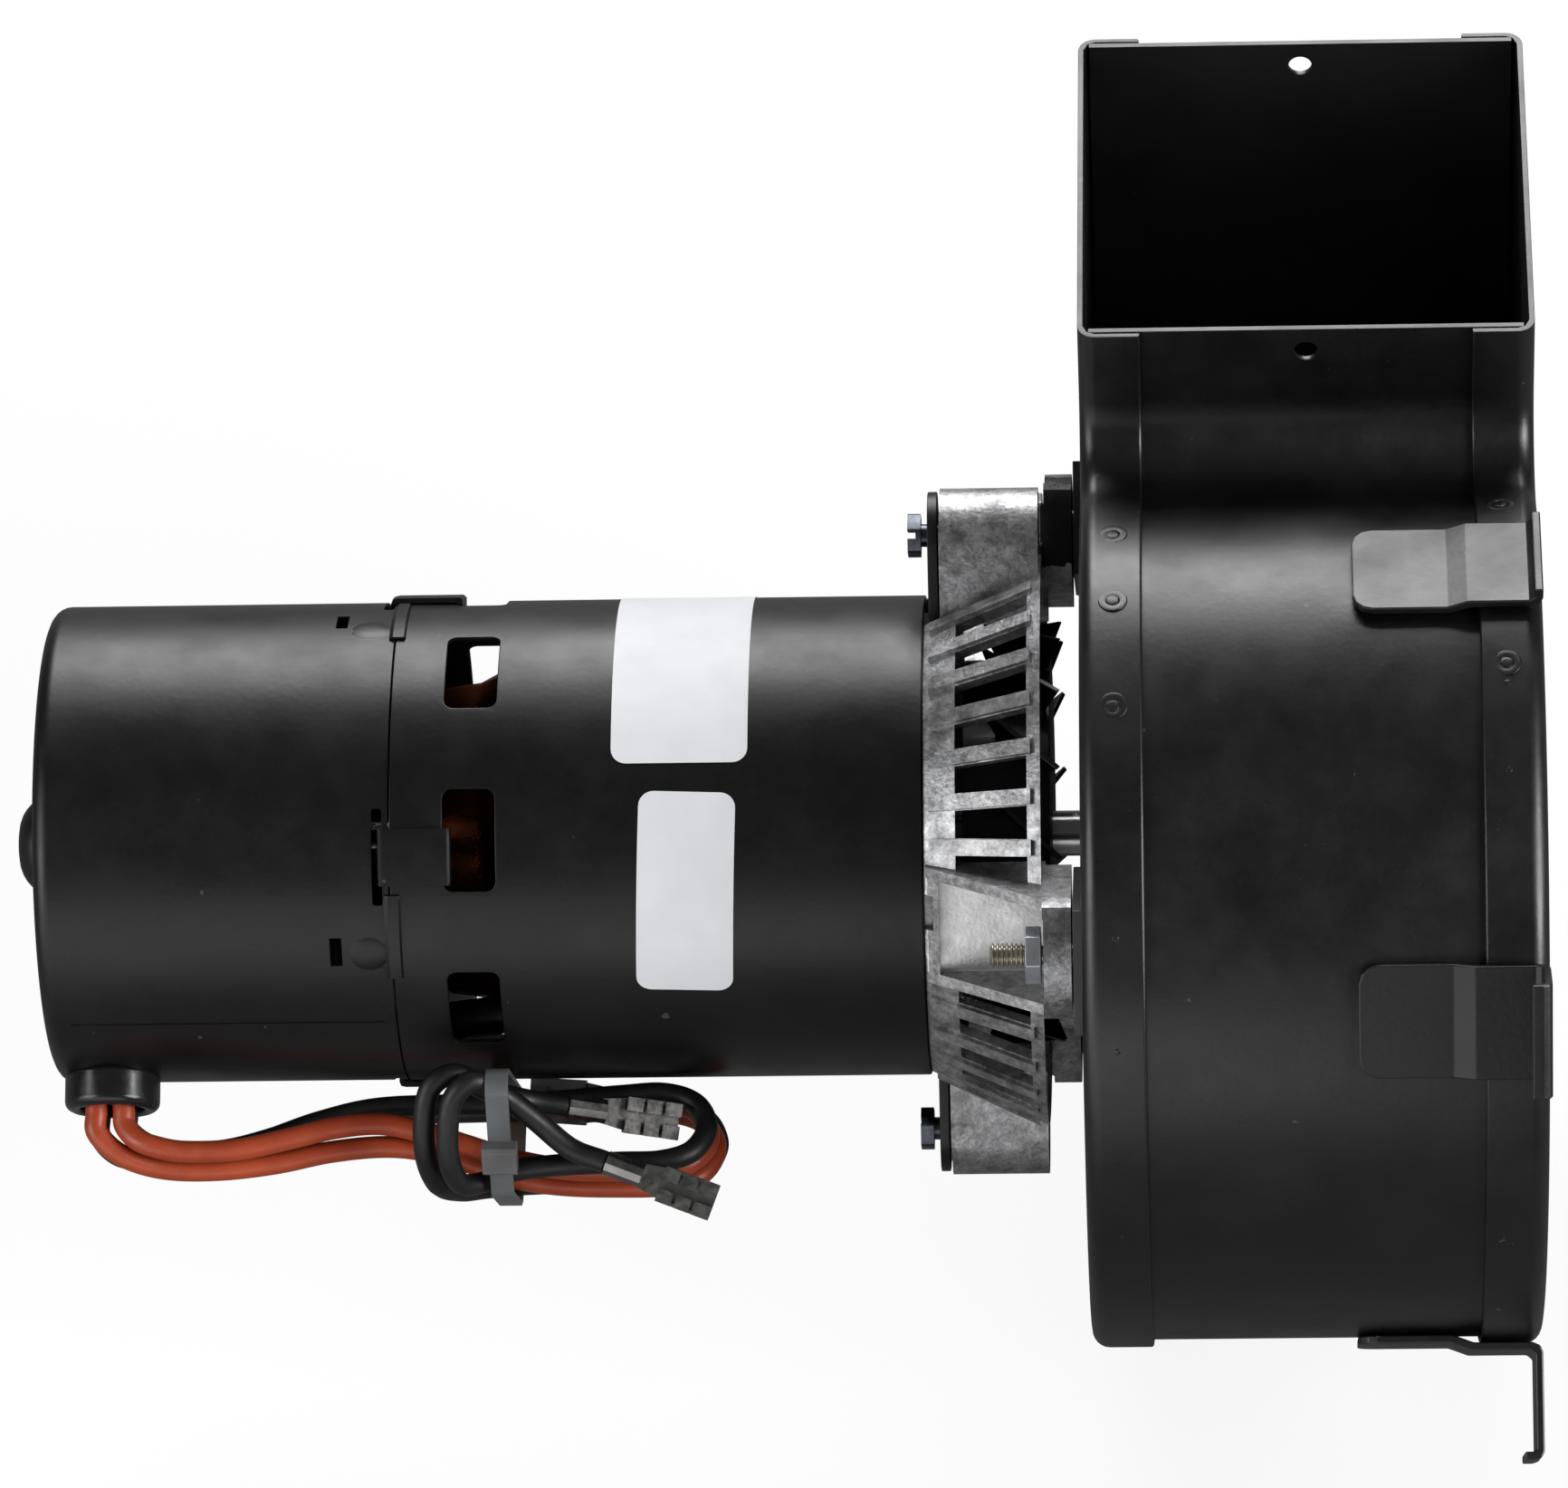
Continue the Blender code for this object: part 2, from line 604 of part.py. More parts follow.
back_plate = solid("blower_back_plate", swept(pan(HOUSING_BACK, 1.0)), BLACK_PAINT)
seat_x = (FOOT_END_X + GAP, HOUSING_BACK + 0.5)
seat_half = FOOT_WIDE / 2 + 0.5
seats = [moved(rounded_bar(seat_x, seat_half, 44.0, FOOT_ROUND, FOOT_REACH + 0.5), at_turn(turn))
         for turn in FOOT_TURNS]
combine(back_plate, "UNION", helper(joined(*seats)))
plate_cut = (FOOT_END_X - 1.0, HOUSING_BACK + 3.0)
plate_holes = [bolt_hole(turn, foot_hole_r, FOOT_BOLT_R, plate_cut) for turn in FOOT_TURNS]
combine(back_plate, "DIFFERENCE", helper(joined(rod(*plate_cut, SHAFT_HOLE_R, 24), *plate_holes)))

scroll = solid("scroll_wrapper", wrapper(), BLACK_PAINT)
lip_holes = []
for y in (FRONT_WALL_Y, BACK_WALL_Y):
    place = Matrix.Translation((LIP_HOLE_X, y, MOUTH_Z - 5.0)) @ Matrix.Rotation(math.pi / 2, 4, "Z")
    lip_holes.append(moved(rod(-8.0, 8.0, LIP_HOLE_R, 16), place))
combine(scroll, "DIFFERENCE", helper(joined(*lip_holes)))

inlet = solid("inlet_plate", swept(pan(0.0, -1.0)), BLACK_PAINT)
combine(inlet, "DIFFERENCE", helper(rod(-4.0, 4.0, INLET_R + 0.6)))
lip = [(-0.25, INLET_R + 2.6), (-0.8, INLET_R + 2.6), (-2.2, INLET_R + 1.3), (-8.0, INLET_R + 1.1),
       (-8.0, INLET_R), (-1.6, INLET_R), (-0.25, INLET_R + 1.0)]
combine(inlet, "UNION", helper(turned(lip)))


def tab_profile(foot):
    """(x, height over the wrapper) of a strip that steps over the flange and turns out into a foot."""
    low, step, thick = GAP, PLATE + 2 * GAP, TAB_THICK
    under = [(-32.0, low), (-15.5, low), (-12.0, step), (-1.8, step), (-0.5, step + 0.6), (0.0, step + 1.8)]
    lip = [(0.0, foot), (-thick, foot)]
    hook = [(0.0, foot - 1.4), (-0.5, foot - 0.4), (-1.6, foot), (-3.4, foot), (-3.4, foot - thick),
            (-1.8, foot - thick), (-thick, foot - thick - 0.5)]
    over = [(-thick, step + thick + 0.8), (-2.4, step + thick), (-12.6, step + thick), (-16.1, low + thick),
            (-32.0, low + thick)]
    return under + (hook if foot > TAB_HOOKED else lip) + over


def mounting_tab(name, turn, foot):
    half = TAB_WIDE / 2
    bm = prism([(x, -half, height) for x, height in tab_profile(foot)], (0.0, TAB_WIDE, 0.0))
    corners = [edge for edge in bm.edges if max(vert.co.x for vert in edge.verts) < -31.0
               and abs(edge.verts[0].co.y - edge.verts[1].co.y) < 1.0]
    bmesh.ops.bevel(bm, geom=corners, offset=3.4, segments=3, profile=0.5, affect="EDGES")
    place = scroll_point(turn, 0.0)
    normal = scroll_normal(turn)
    if turn == TAB_TURNS[-1]:
        place, normal = Vector((0.0, BACK_WALL_Y, 0.0)), Vector((0.0, 1.0, 0.0))
    lean = Matrix.Rotation(math.atan2(-normal.y, normal.z), 4, "X")
    solid(name, moved(bm, Matrix.Translation(place) @ lean), BLACK_PAINT)


for number, (turn, foot) in enumerate(zip(TAB_TURNS, TAB_FEET), 1):
    mounting_tab(f"mounting_tab_{number}", turn, foot)


# Turning parts: shaft, motor rotor, cooling fan and blower wheel
solid("shaft", rod(*SHAFT_ENDS, SHAFT_R), STEEL, ROTOR)
solid("rotor_core", tube(*CORE_ENDS, SHAFT_R + GAP, ROTOR_R, 32), LAMINATION, ROTOR)


def fan_blade(turn):
    """A flat paddle set askew on the drum, so that its corners stand out as points."""
    root, tip = FAN_HALF_CHORD
    low = FAN_DRUM_R - FAN_WALL * 0.7
    outline = [(-root, low), (-tip, FAN_TIP_R), (tip, FAN_TIP_R), (root, low)]
    paddle = prism([(-FAN_THICK / 2, y, z) for y, z in outline], (FAN_THICK, 0.0, 0.0))
    pitch = Matrix.Translation((FAN_X, 0.0, 0.0)) @ Matrix.Rotation(math.radians(FAN_PITCH), 4, "Z")
    return moved(paddle, at_turn(turn) @ pitch)


def fan_drum():
    """A cup with its floor towards the blower and a hub on the shaft."""
    left, right = FAN_DRUM
    floor = right - FAN_FLOOR
    bore = SHAFT_R + GAP
    hub = [(left + 3.0, bore), (left + 3.0, FAN_HUB_R), (floor, FAN_HUB_R), (floor, FAN_DRUM_R - FAN_WALL)]
    wall = [(left, FAN_DRUM_R - FAN_WALL), (left, FAN_DRUM_R), (right, FAN_DRUM_R), (right, bore)]
    return turned(hub + wall, 2 * FAN_BLADES)


fan = solid("cooling_fan", fan_drum(), BLACK_PAINT, ROTOR)
blades = [fan_blade(360.0 * index / FAN_BLADES) for index in range(FAN_BLADES)]
combine(fan, "UNION", helper(joined(*blades), ROTOR))

BLADE_STEPS = 3
BLADE_DEPTH = 10.0
BLADE_SWEEP = 10.0
BLADE_THICK = 0.9


def wheel_blade(turn):
    """One forward-curved blade: it leaves the inner edge along the radius and leans ahead at its tip."""
    front, back = [], []
    for step in range(BLADE_STEPS):
        share = step / (BLADE_STEPS - 1)
        r = WHEEL_R - BLADE_DEPTH * (1.0 - share)
        ahead = math.radians(BLADE_SWEEP) * share ** 1.8
        half = math.asin(BLADE_THICK / 2 / r) * (1.0 + 0.6 * share)
        front.append((WHEEL_ENDS[0] + 0.6, -r * math.sin(ahead + half), r * math.cos(ahead + half)))
        back.append((WHEEL_ENDS[0] + 0.6, -r * math.sin(ahead - half), r * math.cos(ahead - half)))
    length = WHEEL_ENDS[1] - WHEEL_ENDS[0] - 1.2
    return moved(prism(front + back[::-1], (length, 0.0, 0.0)), at_turn(turn))


WHEEL_DISC = 1.2
WHEEL_RIM = 2.0
disc = tube(WHEEL_ENDS[0], WHEEL_ENDS[0] + WHEEL_DISC, SHAFT_R + 2 * GAP, WHEEL_R + 0.5)
wheel = solid("blower_wheel", disc, STEEL, ROTOR)
blades = [wheel_blade(360.0 * index / BLADE_COUNT) for index in range(BLADE_COUNT)]
rim = tube(WHEEL_ENDS[1] - WHEEL_RIM, WHEEL_ENDS[1], WHEEL_R - 4.0, WHEEL_R + 0.5)
combine(wheel, "UNION", helper(joined(*blades), ROTOR), helper(rim, ROTOR))

HUB_LONG = 18.0
HUB_FLANGE = (2.4, 15.0)
hub_x = WHEEL_ENDS[0] + WHEEL_DISC + GAP
hub_profile = [(hub_x, SHAFT_R + GAP), (hub_x, HUB_FLANGE[1]), (hub_x + HUB_FLANGE[0], HUB_FLANGE[1])]
hub_profile += [(hub_x + HUB_FLANGE[0], 10.0), (hub_x + HUB_LONG, 10.0), (hub_x + HUB_LONG, SHAFT_R + GAP)]
wheel_hub = solid("wheel_hub", turned(hub_profile, 24), STEEL, ROTOR)
screw_place = Matrix.Translation((hub_x + 11.0, 0.0, 0.0)) @ Matrix.Rotation(-math.pi / 2, 4, "Y")
combine(wheel_hub, "DIFFERENCE", helper(moved(rod(2.0, 14.0, 2.6, 12), screw_place), ROTOR))
solid("wheel_set_screw", moved(rod(4.5, 10.4, 2.2, 12), screw_place), STEEL, ROTOR)


# Speed switch in the end cap: a carrier on the shaft, two flyweights, a sliding collar and a lever
PIVOT_X = -232.0
PIVOT_Z = 13.0
LUG_IN, LUG_OUT = 3.6, 5.4
WEIGHT_TURNS = (90.0, 270.0)
carrier = solid("switch_carrier", tube(-250.0, -240.0, SHAFT_R + GAP, 8.0, 24), STEEL, ROTOR)
lug_shape = [(-248.0, 5.0), (-240.5, 5.0), (-240.5, 11.0), (-230.0, 11.0), (-230.0, 15.0), (-248.0, 15.0)]
lugs = []
pins = []
for turn in WEIGHT_TURNS:
    for start in (-LUG_OUT, LUG_IN):
        lug = prism([(x, start, z) for x, z in lug_shape], (0.0, LUG_OUT - LUG_IN, 0.0))
        lugs.append(moved(lug, at_turn(turn)))
    pin = moved(rod(-LUG_OUT + 0.4, LUG_OUT - 0.4, 0.9, 12), Matrix.Rotation(math.pi / 2, 4, "Z"))
    pins.append(moved(pin, at_turn(turn) @ Matrix.Translation((PIVOT_X, 0.0, PIVOT_Z))))
combine(carrier, "UNION", helper(joined(*lugs), ROTOR), helper(joined(*pins), ROTOR))

collar = [(-236.2, SHAFT_R + GAP), (-236.2, 9.0), (-234.4, 9.0), (-234.4, 5.6), (-229.6, 5.6), (-229.6, 9.0)]
collar += [(-227.8, 9.0), (-227.8, 6.2), (-219.0, 6.2), (-219.0, 13.0), (-216.0, 13.0)]
collar += [(-216.0, SHAFT_R + GAP)]
solid("switch_collar", turned(collar, 16), BLACK_PLASTIC, ROTOR)

weight = [(-233.0, 7.4), (-231.0, 7.4), (-231.0, 11.6), (-229.8, 13.2), (-230.6, 15.2), (-233.5, 16.0)]
weight += [(-234.0, 24.0), (-247.0, 24.0), (-247.0, 16.2), (-236.0, 15.6), (-234.2, 13.0), (-233.0, 11.4)]
for number, turn in enumerate(WEIGHT_TURNS, 1):
    pivot = axis_empty(f"flyweight_{number}_pivot", at_turn(turn) @ Vector((PIVOT_X, 0.0, PIVOT_Z)))
    shift = at_turn(turn) @ Matrix.Translation((-PIVOT_X, 0.0, -PIVOT_Z))
    bar = prism([(x, -3.0, z) for x, z in weight], (0.0, 6.0, 0.0))
    body = solid(f"flyweight_{number}", moved(bar, shift), STEEL, pivot)
    hole = moved(rod(-6.0, 6.0, 1.3, 12), at_turn(turn) @ Matrix.Rotation(math.pi / 2, 4, "Z"))
    combine(body, "DIFFERENCE", helper(hole, pivot))

LEVER_X, LEVER_Z = -213.4, -30.0
lever_pivot = axis_empty("switch_lever_pivot", (LEVER_X, 0.0, LEVER_Z))
lever = block((-1.0, 0.6), (-3.0, 3.0), (-2.0, 20.0))
nose = block((-2.1, -0.6), (-3.0, 3.0), (18.0, 20.4))
lever_body = solid("switch_lever", lever, BLACK_PLASTIC, lever_pivot)
combine(lever_body, "UNION", helper(nose, lever_pivot))
board = block((-212.2, -210.6), (-20.0, 20.0), (-34.6, -16.0))
solid("switch_board", softened(board, 2.0, 0), BROWN_BOARD)


# Leads: one hank under the motor. Route points are (x, towards the front, up), square to the bushing's side
LEAN = math.radians(45.0)
ROUTES = {
    "lead_orange_1": [
        (-251.0, 12.35, -46.6), (-250.8, 13.0, -50.2), (-246.6, 12.6, -54.2), (-239.5, 10.5, -56.6),
        (-230.3, 8.6, -57.0), (-220.3, 7.2, -56.0), (-211.0, 6.0, -54.2), (-202.0, 5.2, -53.4),
        (-195.0, 4.8, -54.0), (-187.4, 4.5, -56.0), (-179.0, 4.2, -59.0), (-170.5, 4.0, -60.4),
        (-161.0, 4.0, -60.8), (-152.0, 4.0, -60.6), (-146.2, 2.4, -58.8), (-143.8, -1.4, -54.4),
        (-146.2, -5.2, -50.0), (-151.6, -6.8, -48.2), (-156.2, -6.9, -48.0)],
    "lead_orange_2": [
        (-246.2, 12.35, -46.6), (-246.0, 12.9, -48.9), (-244.0, 14.4, -51.2), (-240.6, 15.2, -52.6),
        (-235.4, 14.0, -53.6),
        (-226.5, 11.6, -53.4), (-217.3, 9.9, -51.6), (-209.7, 8.6, -49.9), (-202.0, 8.2, -49.3),
        (-195.0, 8.2, -50.6), (-187.4, 8.3, -53.0), (-179.0, 8.3, -55.7), (-170.5, 8.2, -57.4),
        (-162.0, 8.2, -57.9), (-152.5, 8.2, -57.8), (-147.0, 6.65, -56.1), (-144.7, 2.9, -52.1),
        (-147.0, -0.85, -48.0), (-151.8, -2.4, -46.4), (-156.2, -2.5, -46.3)],
    "lead_black_1": [
        (-251.0, 7.65, -47.6), (-250.8, 8.4, -51.0), (-247.4, 6.0, -54.6), (-240.5, -0.5, -55.2),
        (-230.0, -6.5, -54.2), (-217.0, -10.8, -51.2), (-203.0, -13.0, -48.6), (-188.0, -13.5, -48.0),
        (-172.0, -13.5, -48.0), (-159.5, -13.5, -48.0), (-151.5, -13.5, -48.0), (-146.1, -12.2, -49.7),
        (-143.8, -9.0, -54.0), (-146.1, -5.8, -58.2), (-151.5, -4.5, -60.0), (-160.0, -4.6, -60.2),
        (-170.0, -4.8, -60.3), (-179.0, -4.6, -60.6), (-184.2, -2.6, -61.0), (-188.6, 4.0, -61.2),
        (-191.6, 12.0, -59.6), (-193.0, 18.4, -54.8), (-193.0, 21.8, -48.4), (-191.6, 23.2, -42.6),
        (-187.4, 22.6, -40.4), (-182.6, 18.8, -43.2), (-176.0, 13.6, -45.2), (-169.0, 11.6, -46.4)],
    "lead_black_2": [
        (-246.2, 7.65, -47.6), (-246.0, 8.0, -49.8), (-242.8, 7.5, -52.4), (-237.5, 6.4, -53.8),
        (-230.0, 4.6, -53.8), (-222.0, 3.4, -52.0),
        (-213.0, 2.6, -49.0), (-203.0, 2.4, -46.8), (-190.0, 2.4, -46.3), (-175.0, 2.4, -46.1),
        (-160.0, 2.4, -45.0), (-152.5, 2.4, -44.7), (-147.1, 3.9, -46.4), (-144.8, 7.5, -50.4),
        (-147.1, 11.1, -54.4), (-152.5, 12.6, -56.1), (-160.0, 12.7, -56.3), (-170.0, 12.8, -56.6),
        (-178.5, 12.6, -57.6), (-183.2, 12.8, -59.4), (-187.0, 16.4, -59.6), (-188.7, 20.8, -56.0),
        (-188.8, 23.8, -50.4), (-187.6, 25.8, -44.6), (-184.0, 25.8, -41.6), (-179.4, 22.6, -44.0),
        (-174.0, 19.4, -48.4), (-168.0, 17.8, -53.6), (-162.0, 18.0, -56.0)],
}
LEAD_STEP = 6.0
EXIT_RUN = 1.8
ROUTE_PARTS = 16


def hung(point):
    """A route point in the fan's own axes."""
    x, front, up = point
    y = up * math.cos(LEAN) - front * math.sin(LEAN)
    z = up * math.sin(LEAN) + front * math.cos(LEAN)
    return Vector((x, y, z))


def smooth_route(points, step):
    """Points a step apart on a smooth curve through the route."""
    ends = [2 * points[0] - points[1]] + points + [2 * points[-1] - points[-2]]
    fine = [points[0]]
    for before, start, stop, after in zip(ends, ends[1:], ends[2:], ends[3:]):
        slope = stop - before
        bend = 2 * before - 5 * start + 4 * stop - after
        twist = 3 * start - before - 3 * stop + after
        for index in range(1, ROUTE_PARTS + 1):
            t = index / ROUTE_PARTS
            fine.append(0.5 * (2 * start + slope * t + bend * t ** 2 + twist * t ** 3))
    length = sum((b - a).length for a, b in zip(fine, fine[1:]))
    count = round(length / step)
    even, run, target = [fine[0]], 0.0, length / count
    for a, b in zip(fine, fine[1:]):
        piece = (b - a).length
        while run + piece >= target * len(even) and len(even) < count:
            even.append(a.lerp(b, (target * len(even) - run) / piece))
        run += piece
    return even + [fine[-1]], length


def lead(name, material):
    """An insulated lead, as a bevelled curve."""
    route = [hung(point) for point in ROUTES[name]]
    points, length = smooth_route(route, LEAD_STEP)
    points.insert(1, route[0] + (route[1] - route[0]).normalized() * EXIT_RUN)
    curve = bpy.data.curves.new(name, "CURVE")
    curve.dimensions = "3D"
    curve.bevel_depth = LEAD_D / 2 * MM
    curve.bevel_resolution = 2
    curve.use_fill_caps = True
    spline = curve.splines.new("POLY")
    spline.points.add(len(points) - 1)
    for slot, point in zip(spline.points, points):
        slot.co = (*(point * MM), 1.0)
    curve.materials.append(material)
    obj = bpy.data.objects.new(name, curve)
    obj.parent = HOUSING
    bpy.context.scene.collection.objects.link(obj)
    print(f"{name}: {length:.0f} mm long")
    return points


def least_gap(first, second, same):
    """Least clear space between two leads, or between far stretches of one."""
    skip = round(4 * LEAD_D / LEAD_STEP) if same else 0
    return min((a - b).length for i, a in enumerate(first) for j, b in enumerate(second)
               if not same or abs(i - j) > skip) - LEAD_D


lead_points = {name: lead(name, ORANGE if "orange" in name else BLACK_LEAD) for name in ROUTES}
lead_names = sorted(lead_points)
for index, name in enumerate(lead_names):
    own = least_gap(lead_points[name], lead_points[name], True)
    rest = [least_gap(lead_points[name], lead_points[other], False) for other in lead_names[index + 1:]]
    print(f"{name}: least gap to itself {own:.2f} mm, to the others {min(rest + [99.0]):.2f} mm")


def terminal_shape():
    """Quick-connect receptacle: a crimped barrel, a neck and a tongue with both edges rolled over."""
    half = [(3.2, -1.3), (3.2, 1.3), (0.8, 1.3), (0.8, 0.7), (2.6, 0.7), (2.6, -0.7)]
    rolled = half + [(-y, z) for y, z in half[::-1]]
    box = prism([(10.5, y, z) for y, z in rolled], (9.7, 0.0, 0.0))
    neck_outline = [(5.0, -1.9, -1.25), (11.0, -2.9, -1.25), (11.0, 2.9, -1.25), (5.0, 1.9, -1.25)]
    neck = prism(neck_outline, (0.0, 0.0, 0.6))
    return rod(GAP, 7.0, 2.2, 10), neck, box


def terminal(number, name):
    points = lead_points[name]
    along = (points[-1] - points[-2]).normalized()
    face = (hung((0.0, 1.0, 0.0)) - along * hung((0.0, 1.0, 0.0)).dot(along)).normalized()
    side = face.cross(along)
    frame = Matrix((along, side, face)).transposed().to_4x4()
    frame.translation = points[-1]
    barrel, neck, box = [moved(bm, frame) for bm in terminal_shape()]
    body = solid(f"lead_terminal_{number}", barrel, STEEL)
    combine(body, "UNION", helper(neck), helper(box))


for number, name in enumerate(("lead_black_1", "lead_black_2", "lead_orange_1", "lead_orange_2"), 1):
    terminal(number, name)

# Cable tie: a belt drawn round every strand that passes its place, with its head at the front
TIE_X = -180.0
TIE_HALF = 2.0
TIE_THICK = 0.9
TIE_CLEAR = 0.55
TIE_SIDES = 28
TIE_HEAD_TURN = 35.5
TIE_HEAD = (6.0, 5.6, 3.6)
TIE_HEAD_AT = (21.0, -55.0)


def tie_strands():
    """(front, up) of each strand where it passes the tie's edges and middle."""
    found = []
    for points in lead_points.values():
        for a, b in zip(points, points[1:]):
            for x in (TIE_X - TIE_HALF, TIE_X, TIE_X + TIE_HALF):
                if min(a.x, b.x) <= x < max(a.x, b.x):
                    point = a.lerp(b, (x - a.x) / (b.x - a.x))
                    up = point.y * math.cos(LEAN) + point.z * math.sin(LEAN)
                    front = point.z * math.cos(LEAN) - point.y * math.sin(LEAN)
                    found.append(Vector((front, up)))
    return found


def belt(out):
    """Corners of a belt at a distance from the strands' middles."""
    strands = tie_strands()
    corners = []
    for step in range(TIE_SIDES):
        angle = math.tau * step / TIE_SIDES
        facing = Vector((math.cos(angle), math.sin(angle)))
        corners.append(max(strands, key=facing.dot) + facing * out)
    return corners


def tie_band():
    bm = bmesh.new()
    inner = LEAD_D / 2 + TIE_CLEAR
    outer = inner + TIE_THICK
    rings = []
    for x, out in ((-TIE_HALF, inner), (-TIE_HALF, outer), (TIE_HALF, outer), (TIE_HALF, inner)):
        rings.append([bm.verts.new(hung((TIE_X + x, *corner))) for corner in belt(out)])
    for ring, following in zip(rings, rings[1:] + rings[:1]):
        for index in range(TIE_SIDES):
            after = (index + 1) % TIE_SIDES
            bm.faces.new((ring[index], ring[after], following[after], following[index]))
    return bm


tie = solid("cable_tie", tie_band(), GREY_NYLON)
head = softened(block(*[(-size / 2, size / 2) for size in TIE_HEAD]), 0.6, 0, 1)
head_frame = Matrix.Translation(hung((TIE_X, *TIE_HEAD_AT))) @ at_turn(45.0 - TIE_HEAD_TURN)
combine(tie, "UNION", helper(moved(head, head_frame)))
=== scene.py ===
# %% [markdown]
# Lesson: dressing a combustion fan.
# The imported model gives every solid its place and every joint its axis. This file loads it as a fixed
# frame and puts smooth, finished pieces over it, one cell at a time, without moving anything.

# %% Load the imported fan
import math

import bpy
from mathutils import Matrix, Vector


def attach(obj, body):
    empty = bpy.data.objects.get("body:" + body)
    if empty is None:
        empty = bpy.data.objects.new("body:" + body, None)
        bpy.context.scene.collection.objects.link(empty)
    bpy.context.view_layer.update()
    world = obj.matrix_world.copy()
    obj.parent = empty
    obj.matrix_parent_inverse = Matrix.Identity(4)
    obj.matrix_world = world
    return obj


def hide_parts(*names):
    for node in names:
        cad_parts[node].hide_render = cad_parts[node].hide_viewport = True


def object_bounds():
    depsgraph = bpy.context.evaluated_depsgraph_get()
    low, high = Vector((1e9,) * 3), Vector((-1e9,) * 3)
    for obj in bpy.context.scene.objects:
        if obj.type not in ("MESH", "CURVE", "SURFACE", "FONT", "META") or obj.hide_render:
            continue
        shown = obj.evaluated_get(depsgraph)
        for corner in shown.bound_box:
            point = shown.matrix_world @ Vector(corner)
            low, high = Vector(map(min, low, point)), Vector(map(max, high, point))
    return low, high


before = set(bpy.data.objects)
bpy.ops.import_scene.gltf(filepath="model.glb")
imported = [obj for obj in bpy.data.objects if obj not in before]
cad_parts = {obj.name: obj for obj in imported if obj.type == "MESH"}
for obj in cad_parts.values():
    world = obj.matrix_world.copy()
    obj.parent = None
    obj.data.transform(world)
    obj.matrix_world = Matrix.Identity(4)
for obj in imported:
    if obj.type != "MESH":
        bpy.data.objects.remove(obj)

cad_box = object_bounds()
MM = 0.001

# %% [markdown]
# The camera stands in front of the fan and 45 degrees above it, far away, so that the view is almost
# flat. It could be framed with lens shift, but a shift stays when the camera moves to other sides. Here
# it is aimed at the middle of the picture instead, with a small roll, because the shaft climbs a little
# to the right.

# %% Camera
CAMERA_FOOT_X = -52.2
CAMERA_FAR = 1700.0
PICTURE_WIDE = 274.4
AIM_X = -130.9
AIM_UP = 16.2
ROLL = math.radians(0.69)
SENSOR = 36.0
VIEW_END = 20.0


def placed(name, data):
    """A new object in the scene."""
    made = bpy.data.objects.new(name, data)
    bpy.context.scene.collection.objects.link(made)
    return made


towards_camera = Vector((0.0, -1.0, 1.0)).normalized()
picture_up = Vector((0.0, 1.0, 1.0)).normalized()
camera_data = bpy.data.cameras.new("photo_camera")
camera = placed("photo_camera", camera_data)
camera.location = (Vector((CAMERA_FOOT_X, 0.0, 0.0)) + towards_camera * CAMERA_FAR) * MM
aim = (Vector((AIM_X, 0.0, 0.0)) + picture_up * AIM_UP) * MM
sight = aim - camera.location
back = -sight.normalized()
right = picture_up.cross(back).normalized()
upright = Matrix((right, back.cross(right), back)).transposed()
camera.rotation_euler = (upright @ Matrix.Rotation(-ROLL, 3, "Z")).to_euler()
camera_data.sensor_width = SENSOR
camera_data.lens = SENSOR * sight.length / (PICTURE_WIDE * MM)
camera_data.clip_end = VIEW_END
bpy.context.scene.camera = camera
print(f"lens {camera_data.lens:.0f} mm at {sight.length:.2f} m")

# %% [markdown]
# A finish is a small network of nodes. One helper adds a node and wires or sets its inputs, and another
# makes a colour ramp, so that each finish below reads as a short list.

# %% Node helpers
def add(tree, kind, inputs=(), **settings):
    """A new node. An input that is given a socket is linked, and one that is given a value is set."""
    made = tree.nodes.new(kind)
    for key, value in settings.items():
        setattr(made, key, value)
    for key, value in dict(inputs).items():
        if isinstance(value, bpy.types.NodeSocket):
            tree.links.new(value, made.inputs[key])
        else:
            made.inputs[key].default_value = value
    return made


def grey(value):
    return (value, value, value, 1.0)


def shaded(tint, factor):
    """A colour made darker or lighter."""
    return tuple(factor * part for part in tint)


def math_node(tree, operation, first, second=0.0):
    """The result of a sum or a test on two values."""
    return add(tree, "ShaderNodeMath", {0: first, 1: second}, operation=operation).outputs[0]


def ramp(tree, source, *stops):
    """Colours along a 0 to 1 value: each stop is a place and a grey or a colour."""
    made = add(tree, "ShaderNodeValToRGB", {"Fac": source})
    made.color_ramp.elements.remove(made.color_ramp.elements[0])
    made.color_ramp.elements[0].position = stops[0][0]
    for place, _ in stops[1:]:
        made.color_ramp.elements.new(place)
    for element, (_, tone) in zip(made.color_ramp.elements, stops):
        element.color = grey(tone) if isinstance(tone, float) else (*tone, 1.0)
    return made.outputs["Color"]


def noise(tree, place, scale, detail=3.0, roughness=0.5):
    inputs = {"Vector": place, "Scale": scale, "Detail": detail, "Roughness": roughness}
    return add(tree, "ShaderNodeTexNoise", inputs).outputs["Fac"]


def new_finish(name, **constants):
    """A material with constants set. Returns it, its nodes, its shader and object coordinates."""
    material = bpy.data.materials.new(name)
    material.use_nodes = True
    tree = material.node_tree
    shader = tree.nodes["Principled BSDF"]
    for key, value in constants.items():
        shader.inputs[key.replace("_", " ").title().replace("Ior", "IOR")].default_value = value
    place = add(tree, "ShaderNodeTexCoord").outputs["Object"]
    return material, tree, shader, place


def mixed(tree, share, first, second, blend="MIX"):
    """One colour or another, by a share. The node's colours are its inputs 6 and 7 and its output 2."""
    inputs = {"Factor": share, 6: first, 7: second}
    return add(tree, "ShaderNodeMix", inputs, data_type="RGBA", blend_type=blend).outputs[2]


